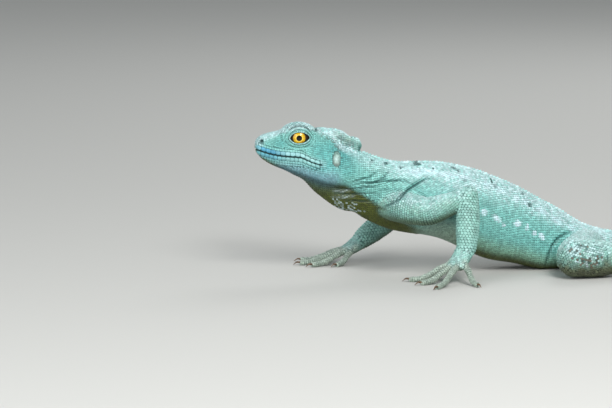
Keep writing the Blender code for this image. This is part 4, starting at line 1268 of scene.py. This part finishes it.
def dress_lids(ground):
    """Rows of fine beads round the eyes, along the lids."""
    line = opening_line(400)
    ahead = unit(np.roll(line, -1, axis=0) - np.roll(line, 1, axis=0))
    outward = np.stack([ahead[:, 1], -ahead[:, 0]], -1)
    inner, outer = lid_grooves(np.arctan2(line[:, 1], line[:, 0]))
    band = outer - inner
    rows = (
        (0 * inner + 0.28, 0.5), (inner * 0.72, 0.55), (inner + 0.2 * band, 0.62),
        (inner + 0.47 * band, 0.66), (inner + 0.74 * band, 0.7), (outer + 0.35, 0.8), (outer + 0.9, 0.85),
    )
    groups = []
    for number, (away, size) in enumerate(rows):
        path = line + outward * away[:, None]
        path = np.concatenate([path, path[:1]])
        run = run_of(path)
        count = round(run[-1] / size)
        share = (np.arange(count) + 0.5 * (number % 2)) / count * run[-1]
        s, h = EYE_S + np.interp(share, run, path[:, 0]), EYE_H + np.interp(share, run, path[:, 1])
        for _, side in SIDES:
            found = ground.beside(s, h, side)
            way = unit(np.roll(found[:, :3], -1, axis=0) - found[:, :3])
            chart = np.stack([share / run[-1], np.full(count, 0.05 + 0.06 * number + 0.45 * (side > 0))], -1)
            groups.append((found, way, np.full(count, size), chart))
    places = ground.settled(*(np.concatenate(values) for values in zip(*groups)))
    dressed("lids", "head_skin", places, high=0.22, lift=0.1, point=0.0, keel=0.9)


def dress_ridge(ground):
    """The low saw-edged row along the middle of the back."""
    s = np.arange(51.0, 420, 1.5)
    count = len(s)
    root = body_at(s, np.full(count, math.pi / 2))
    way = unit(body_at(s + 0.5, np.full(count, math.pi / 2)) - root)
    chart = np.stack([s / 420 * 0.98, np.full(count, 0.5)], -1)
    places = ground.planted(
        root, way, np.tile((0.0, 0.0, 1.0), (count, 1)), np.full(count, 1.7), chart, np.full(count, 3.0))
    high = 0.52 - 0.2 * fade(body_place(places.root)[0], 170, 400)
    dressed("ridge", "body_skin", places, high=high, wide=0.45, lift=0.75, point=0.25, keel=1.15)


# Cobbled patches on the outer side of the knees: the middle (x, height), half of the length and
# of the height, the tilt in degrees and the pitch. The kinds of cobble are a colour, the span of
# the random draw that gives it, and its share.
KNEE_PATCH = (48.7, 12.6, 9.0, 5.2, -16, 1.22)
COBBLES = (
    ("pale", 0.0, 0.55, 0.9), ("white", 0.0, 0.4, 0.35), ("dark", 0.62, 0.85, 0.6), ("rust", 0.8, 1.3, 0.85),
)


def dress_knees(ground):
    """The patch of rough, speckled cobbles on each knee, from rays that come in from the side."""
    x, z, long, tall, tilt, pitch = KNEE_PATCH
    rows = np.arange(-12, 13)
    grid = np.array([((i + 0.5 * (j % 2)) * pitch, j * pitch * ROW_SHARE) for j in rows for i in rows])
    turn = math.radians(tilt)
    lean = np.array([(math.cos(turn), math.sin(turn)), (-math.sin(turn), math.cos(turn))])
    for limb, side in SIDES:
        shift = LIMBS[f"leg_{limb}"][0]["bend"][0] - LIMBS["leg_left"][0]["bend"][0]
        hits, kept = [], []
        for spot_in_patch, (across, up) in zip(grid, grid @ lean):
            start = (x + shift + across, side * 90, z + up)
            spot, normal, face, _ = ground.tree.ray_cast(start, (0, -side, 0), 70)
            if face is not None and abs(normal.y) > 0.35 and np.hypot(*(spot_in_patch / (11, 9.5))) < 1:
                hits.append((*spot, *normal, face))
                kept.append(spot_in_patch)
        hits, kept = np.array(hits), np.array(kept)
        rough = np.hypot(kept[:, 0] / long, kept[:, 1] / tall) < 1 + 0.12 * ripple(hits[:, :3], 3.0, 8)
        way = np.tile((1.0, 0.0, 0.0), (len(hits), 1))
        places = ground.settled(hits, way, np.full(len(hits), pitch), 0.5 + kept / 40)
        kind = np.random.default_rng(40 + side).uniform(size=len(hits))
        # Lower down, more of the cobbles are dark and rust-brown: painted shade on the knee's lower side.
        kind += 0.25 * fade(places.root[:, 2], 14, 8)
        for name, low, high, share in COBBLES:
            places.shares[rough & (kind >= low) & (kind < high), COLUMN[name]] = share
        high = np.where(rough, 0.34, 0.2)
        dressed(f"knee_{limb}", "limb_skin", places, high=high, lift=0.05, point=0.0, keel=0.9, wide=0.86,
                speckle=0.5)


BODY_PITCH = smooth([
    (0, 0.85), (20, 0.95), (45, 1.0), (60, 1.1), (100, 1.2), (172, 1.3), (200, 1.6), (400, 1.4), (625, 0.8),
])


def dress_trunk(ground):
    """The scales of the long body."""
    rows = rows_on(Sheet(body_at, TAIL_END), 0.6, TAIL_END - 2, BODY_PITCH)
    s, across, h = body_place(rows[0])
    eye_off, turn = lid_distance(s, h)
    clear = ~((eye_off < lid_grooves(turn)[1] + 1.0) & (np.abs(across) > 3))
    clear &= (np.abs(h - mouth_height(s)) > 0.5) | (s > MOUTH_CORNER)
    clear &= (np.hypot(s - NOSTRIL_S, h - NOSTRIL_H) > 1.1) & (ear_share(s, h) > 1.05)
    found = ground.planted(*(values[clear] for values in rows))
    s, _, h = body_place(found.root)
    upper = fade((h - underside(s)) / (back(s) - underside(s)), 0.3, 0.9)
    tail, behind_neck = fade(s, 165, 215), fade(s, 60, 90)
    looks = {
        "high": 0.25 + 0.05 * upper + 0.03 * tail, "lift": 0.25 + 0.35 * upper * behind_neck + 0.3 * tail,
        "point": 0.1 + 0.15 * behind_neck + 0.15 * tail, "keel": 0.85 + 0.3 * tail + 0.15 * upper,
        "speckle": 0.15 + 0.15 * upper * fade(s, 50, 90),
        "wide": 0.88 - 0.04 * fade(s, 20, 34) * (1 - behind_neck),
    }
    regions = (
        ("head", "head_skin", -math.inf, HEAD_END), ("neck", "body_skin", HEAD_END, NECK_END),
        ("torso", "body_skin", NECK_END, TORSO_END), ("tail", "tail_skin", TORSO_END, math.inf),
    )
    for name, slot, start, end in regions:
        chosen = (s >= start) & (s < end)
        dressed(name, slot, found.only(chosen), **{key: value[chosen] for key, value in looks.items()})


def dress_soft_parts(ground):
    """The scales of the throat and the crest."""
    throat = ground.planted(*rows_on(Sheet(throat_at, 82), 15, 81, lambda s: 1.15))
    s, _, h = body_place(throat.root)
    spotted = fade(s, 36, 42) * (1 - fade(s, 49, 56)) * (1 - fade(h - smooth(THROAT_BOTTOM)(s), 2.5, 6.5))
    chosen = np.random.default_rng(3).uniform(size=len(s)) < 0.55 * spotted
    throat.shares[chosen, COLUMN["white"]] = 0.3
    dressed("throat", "throat_skin", throat, high=0.24, lift=0.2, keel=0.85, speckle=0.6)
    crest = ground.planted(*rows_on(Sheet(crest_at, 54), 28, 53.3, lambda s: 1.05))
    dressed("crest", "head_skin", crest, high=0.24, lift=0.3, keel=0.9)


# Scales of each part of a leg: pitch, and height, lift, point, width and length as shares of it
LIMB_LOOKS = {
    "lower": (1.6, 0.36, 0.9, 0.3, 0.93, 0.92), "upper": (1.2, 0.3, 0.45, 0.25, 0.88, 1.02),
    "palm": (1.3, 0.3, 0.6, 0.2, 0.9, 0.98), "toe": (1.3, 0.36, 0.6, 0.0, 0.97, 0.92),
}


def dress_limbs(ground):
    """Rows of scales round the legs and toes. Each tube has a band of the unwrap."""
    for limb in LIMBS:
        tubes = limb_tubes(limb)
        for part_name, (pitch, *looks) in LIMB_LOOKS.items():
            parts = [tube for name, tube in tubes.items() if name.startswith(part_name)]
            groups = []
            for number, tube in enumerate(parts):
                start = -0.8 * tube.reach_wide[0] if part_name in ("lower", "upper") else 0.2
                end = tube.length + 0.85 * tube.tip * tube.reach_wide[-1]
                places = ground.planted(*rows_on(tube, start, end, lambda s: pitch), least=0.55)
                places.chart[:] = 0.01 + 0.98 * places.chart
                places.chart[:, 1] = (number + places.chart[:, 1]) / len(parts)
                groups.append(places.parts)
            places = Places(*(np.concatenate(values) for values in zip(*groups)))
            looks = dict(zip(("high", "lift", "point", "wide", "long"), looks))
            dressed(f"{limb}_{part_name}", "limb_skin", places, **looks)


def dress_gaps(ground):
    """Scales where no row reaches, such as the tip of the snout, the brows and the armpits. Each lies as its
    nearest neighbour does."""
    skin, taken = ground.skin, ground.taken
    s, h = skin.s, skin.h
    trunk = skin.on_trunk > 0.5
    bare = (np.abs(skin.across) > 3) & (lid_distance(s, h)[0] < 0.3)
    bare |= (s < MOUTH_CORNER) & (np.abs(h - mouth_height(s)) < 0.55)
    bare |= (np.hypot(s - NOSTRIL_S, h - NOSTRIL_H) < 1.2) | (np.hypot(s - EAR_S, h - EAR_H) < 3.9)
    clear = ~(trunk & bare) & (skin.creased < 0.4)
    tree = kd_tree(taken[:, :3])
    chosen, near, cells = [], [], {}
    for i in np.random.default_rng(7).permutation(np.flatnonzero(clear)):
        point = skin.points[i]
        _, k, far = tree.find(point)
        size = taken[k, 6]
        if far < 0.8 * size:
            continue
        cell = tuple(np.floor(point / 1.5).astype(int))
        around = itertools.product(*((value - 1, value, value + 1) for value in cell))
        others = [other for key in around for other in cells.get(key, ())]
        if all(np.linalg.norm(point - other) > 0.85 * size for other in others):
            cells.setdefault(cell, []).append(point)
            chosen.append(i)
            near.append(k)
    face_of = np.zeros(len(skin.points), int)
    face_of[skin.tris.ravel()] = np.repeat(np.arange(len(skin.tris)), 3)
    points, normals = skin.points[chosen], skin.normals[chosen]
    hits = np.concatenate([points, normals, face_of[chosen][:, None]], 1)
    low, high = skin.points.min(axis=0), skin.points.max(axis=0)
    chart = ((points - low) / (high - low))[:, :2] * 0.98 + 0.01
    chart[:, 1] = (chart[:, 1] + (normals[:, 2] < 0)) / 2
    places = ground.settled(hits, taken[near, 3:6], taken[near, 6], chart)
    trunk, head = trunk[chosen], trunk[chosen] & (s[chosen] < HEAD_END)
    regions = (
        ("head", "head_skin", head), ("body", "body_skin", trunk & ~head), ("limbs", "limb_skin", ~trunk),
    )
    for name, slot, part in regions:
        dressed(f"between_{name}", slot, places.only(part), high=0.26, lift=0.25, point=0.05, keel=0.9)


def eye_material():
    """A wet eyeball: round black pupil, bright golden iris with streaks and a dark rim."""
    material, tree, shader = new_material("wet_eye", {
        "Roughness": 0.12, "Specular IOR Level": 0.15, "Coat Weight": 0.4, "Coat Roughness": 0.02})
    spot = new_node(tree, "SeparateXYZ", {"Vector": new_node(tree, "TexCoord", {})["Object"]})
    flat = new_node(tree, "CombineXYZ", {"X": spot["X"], "Y": spot["Z"]})["Vector"]
    length = new_node(tree, "VectorMath", {"Vector": flat}, operation="LENGTH")["Value"]
    share = new_node(tree, "Math", {0: length, 1: 1 / (5 * MM)}, operation="MULTIPLY")["Value"]
    around = new_node(tree, "VectorMath", {"Vector": flat}, operation="NORMALIZE")["Vector"]
    streaks = new_node(tree, "TexNoise", {"Scale": 6.0, "Detail": 4.0, "Vector": around})["Fac"]
    colour = ramp(tree, streaks, [(0.38, (0.44, 0.20, 0.006)), (0.6, (0.66, 0.44, 0.015))])
    rings = (
        ([(0.29, 0.0), (0.31, 1.0), (0.35, 0.6), (0.43, 0.0)], (0.90, 0.68, 0.12)),
        ([(0.56, 0.0), (0.64, 1.0)], (0.035, 0.02, 0.012)),
        ([(0.275, 1.0), (0.30, 0.0)], (0.003, 0.003, 0.003)),
    )
    for stops, ring_colour in rings:
        colour = mixed(tree, ramp(tree, share, stops), colour, ring_colour)
    put(tree, shader, {"Base Color": colour})
    return material


def claw_material():
    """Dark horn, with faint streaks."""
    material, tree, shader = new_material(
        "dark_horn", {"Roughness": 0.3, "Coat Weight": 0.3, "Coat Roughness": 0.25})
    grain = texture(tree, "TexNoise", 1.4, Detail=4.0)["Fac"]
    colour = ramp(tree, grain, [(0.3, (0.035, 0.018, 0.008)), (0.7, (0.16, 0.085, 0.035))])
    put(tree, shader, {"Base Color": colour})
    bumped(tree, shader, grain, 0.05)
    return material


def make_eyes():
    """The two eyeballs, each an object of its own that is turned with the head."""
    material = eye_material()
    tilt = np.radians(np.linspace(-87, 87, 40))[:, None]
    turn = FULL_TURN * np.arange(64) / 64
    long, wide, high = EYE_RADII
    for name, side in SIDES:
        rings = np.stack([
            np.cos(tilt) * np.cos(turn) * long, side * np.sin(tilt) * wide + 0 * turn,
            side * (np.cos(tilt) * np.sin(turn)) * -high,
        ], -1)
        points, quads, caps = closed_rings(rings)
        mesh = mesh_of(f"eyeball_{name}", points - OFFSET / MM, quads, caps)
        mesh.shade_smooth()
        mesh.materials.append(material)
        eye = add_object(f"eyeball_{name}", mesh)
        eye.location = to_frame(place(EYE_S, side * EYE_ACROSS, EYE_H))
        eye.rotation_euler = (0, 0, math.radians(HEADING[0][1]))
        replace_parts(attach(eye, "root"), f"eye_{name}")


def make_claws():
    """The twenty claws, each curved down to its point."""
    material = claw_material()
    for limb, (_, _, _, radius, _) in LIMBS.items():
        kind, side_name = limb.split("_")
        thick = CLAW_RADIUS * radius / FINGER_RADIUS
        taper = smooth([(0, thick), (0.5, thick * 0.66), (0.85, thick * 0.3), (1, 0.12)])
        for number, toe in enumerate(toe_paths(limb), 1):
            way = unit(toe[-1] - toe[-2])
            level = unit(way * (1, 1, 0))
            spine = [
                toe[-1] - way * 0.6, toe[-1] + level * CLAW_LENGTH * 0.5 + (0, 0, 0.55),
                toe[-1] + level * CLAW_LENGTH - (0, 0, 0.65),
            ]
            rings = Tube(spine, taper, 0.85, steps=30).rings(0.22, 16)
            rings[..., 2] = np.maximum(rings[..., 2], 0.02)
            name = f"{'finger' if kind == 'arm' else 'toe'}_{side_name}_{number}_claw"
            mesh = mesh_of(f"horn_{name}", *closed_rings(rings))
            mesh.shade_smooth()
            add_piece(f"horn_{name}", mesh, material, "claw_horn", name)


FLESH = ["head", "lower_jaw", "head_crest", "throat", "neck", "torso"]
FLESH += [f"tail_{part}" for part in ("base", "middle", "rear", "tip")]
FLESH += [
    f"{part}_{side}" for part in ("upper_arm", "forearm", "hand", "thigh", "shin", "foot")
    for side, _ in SIDES
]


def make_skin(skin, shares):
    mesh = mesh_of("skin", skin.points, skin.tris)
    set_attributes(mesh, shares)
    mesh.shade_smooth()
    add_piece("skin", mesh, skin_material("skin_between_scales", False), "body_skin", *FLESH)


LOOK_AT = (-83.8, 0, 36.0)
VIEW_WIDTH, VIEW_AZIMUTH, VIEW_ELEVATION = 306, math.radians(-12), math.radians(8)
CAMERA_AWAY, SENSOR = 1700, 36


def add_camera():
    """The photograph's view: a long lens on the left side, a little from above."""
    level = math.cos(VIEW_ELEVATION)
    away = (math.sin(VIEW_AZIMUTH) * level, -math.cos(VIEW_AZIMUTH) * level, math.sin(VIEW_ELEVATION))
    away = np.array(away)
    data = bpy.data.cameras.new("view")
    data.sensor_width, data.lens = SENSOR, SENSOR * CAMERA_AWAY / VIEW_WIDTH
    data.clip_start, data.clip_end = 0.05, 20
    camera = add_object("view", data)
    camera.location = to_frame(np.array(LOOK_AT) + away * CAMERA_AWAY)
    camera.rotation_euler = Vector(away).to_track_quat("Z", "Y").to_euler()
    bpy.context.scene.camera = camera


# Square soft lights that face the animal: the place in metres, the size, the power and the colour
LIGHTS = {
    "key": ((-0.05, -0.98, 0.97), 0.6, 11.6, (1.0, 0.99, 0.97)),
    "fill": ((-1.3, -0.8, 0.5), 0.8, 9.5, (0.95, 0.98, 1.0)),
    "catch": ((-0.21, -1.03, 0.69), 0.26, 4.5, (1, 1, 1)),
    "rim": ((0.4, 0.9, 0.9), 0.6, 4.5, (1, 1, 1)),
}


def add_stage():
    """A plain pale floor, soft light from above and a pale surround."""
    corners = np.array([(-1, -1), (1, -1), (1, 1), (-1, 1)]) * 6000.0
    points = np.concatenate([corners, np.full((4, 1), -0.05)], 1)
    floor = add_object("floor", mesh_of("floor", points, np.array([[0, 1, 2, 3]])))
    inputs = {"Roughness": 0.85, "Base Color": (0.52, 0.52, 0.50)}
    floor.data.materials.append(new_material("pale_floor", inputs)[0])
    world = bpy.data.worlds.new("pale")
    world.use_nodes = True
    put(world.node_tree, world.node_tree.nodes["Background"], {"Color": (0.86, 0.90, 0.92), "Strength": 0.42})
    bpy.context.scene.world = world
    for name, (spot, size, power, colour) in LIGHTS.items():
        data = bpy.data.lights.new(name, "AREA")
        data.size, data.energy, data.color = size, power, colour
        light = add_object(name, data)
        light.location = spot
        aim = Vector(spot) - Vector(to_frame((-60, 0, 40)))
        light.rotation_euler = aim.to_track_quat("Z", "Y").to_euler()
    bpy.context.scene.view_settings.view_transform = "Standard"


add_camera()
add_stage()
skin = Skin(0.55)
skin.add_details()
skin.measure()
shares = markings_and_painted_light(skin)
make_skin(skin, shares)
make_eyes()
make_claws()
COAT = skin_material("scales", True)
ground = Ground(skin, shares)
dress_lips(ground)
dress_lids(ground)
dress_ridge(ground)
dress_knees(ground)
dress_soft_parts(ground)
dress_trunk(ground)
dress_limbs(ground)
dress_gaps(ground)
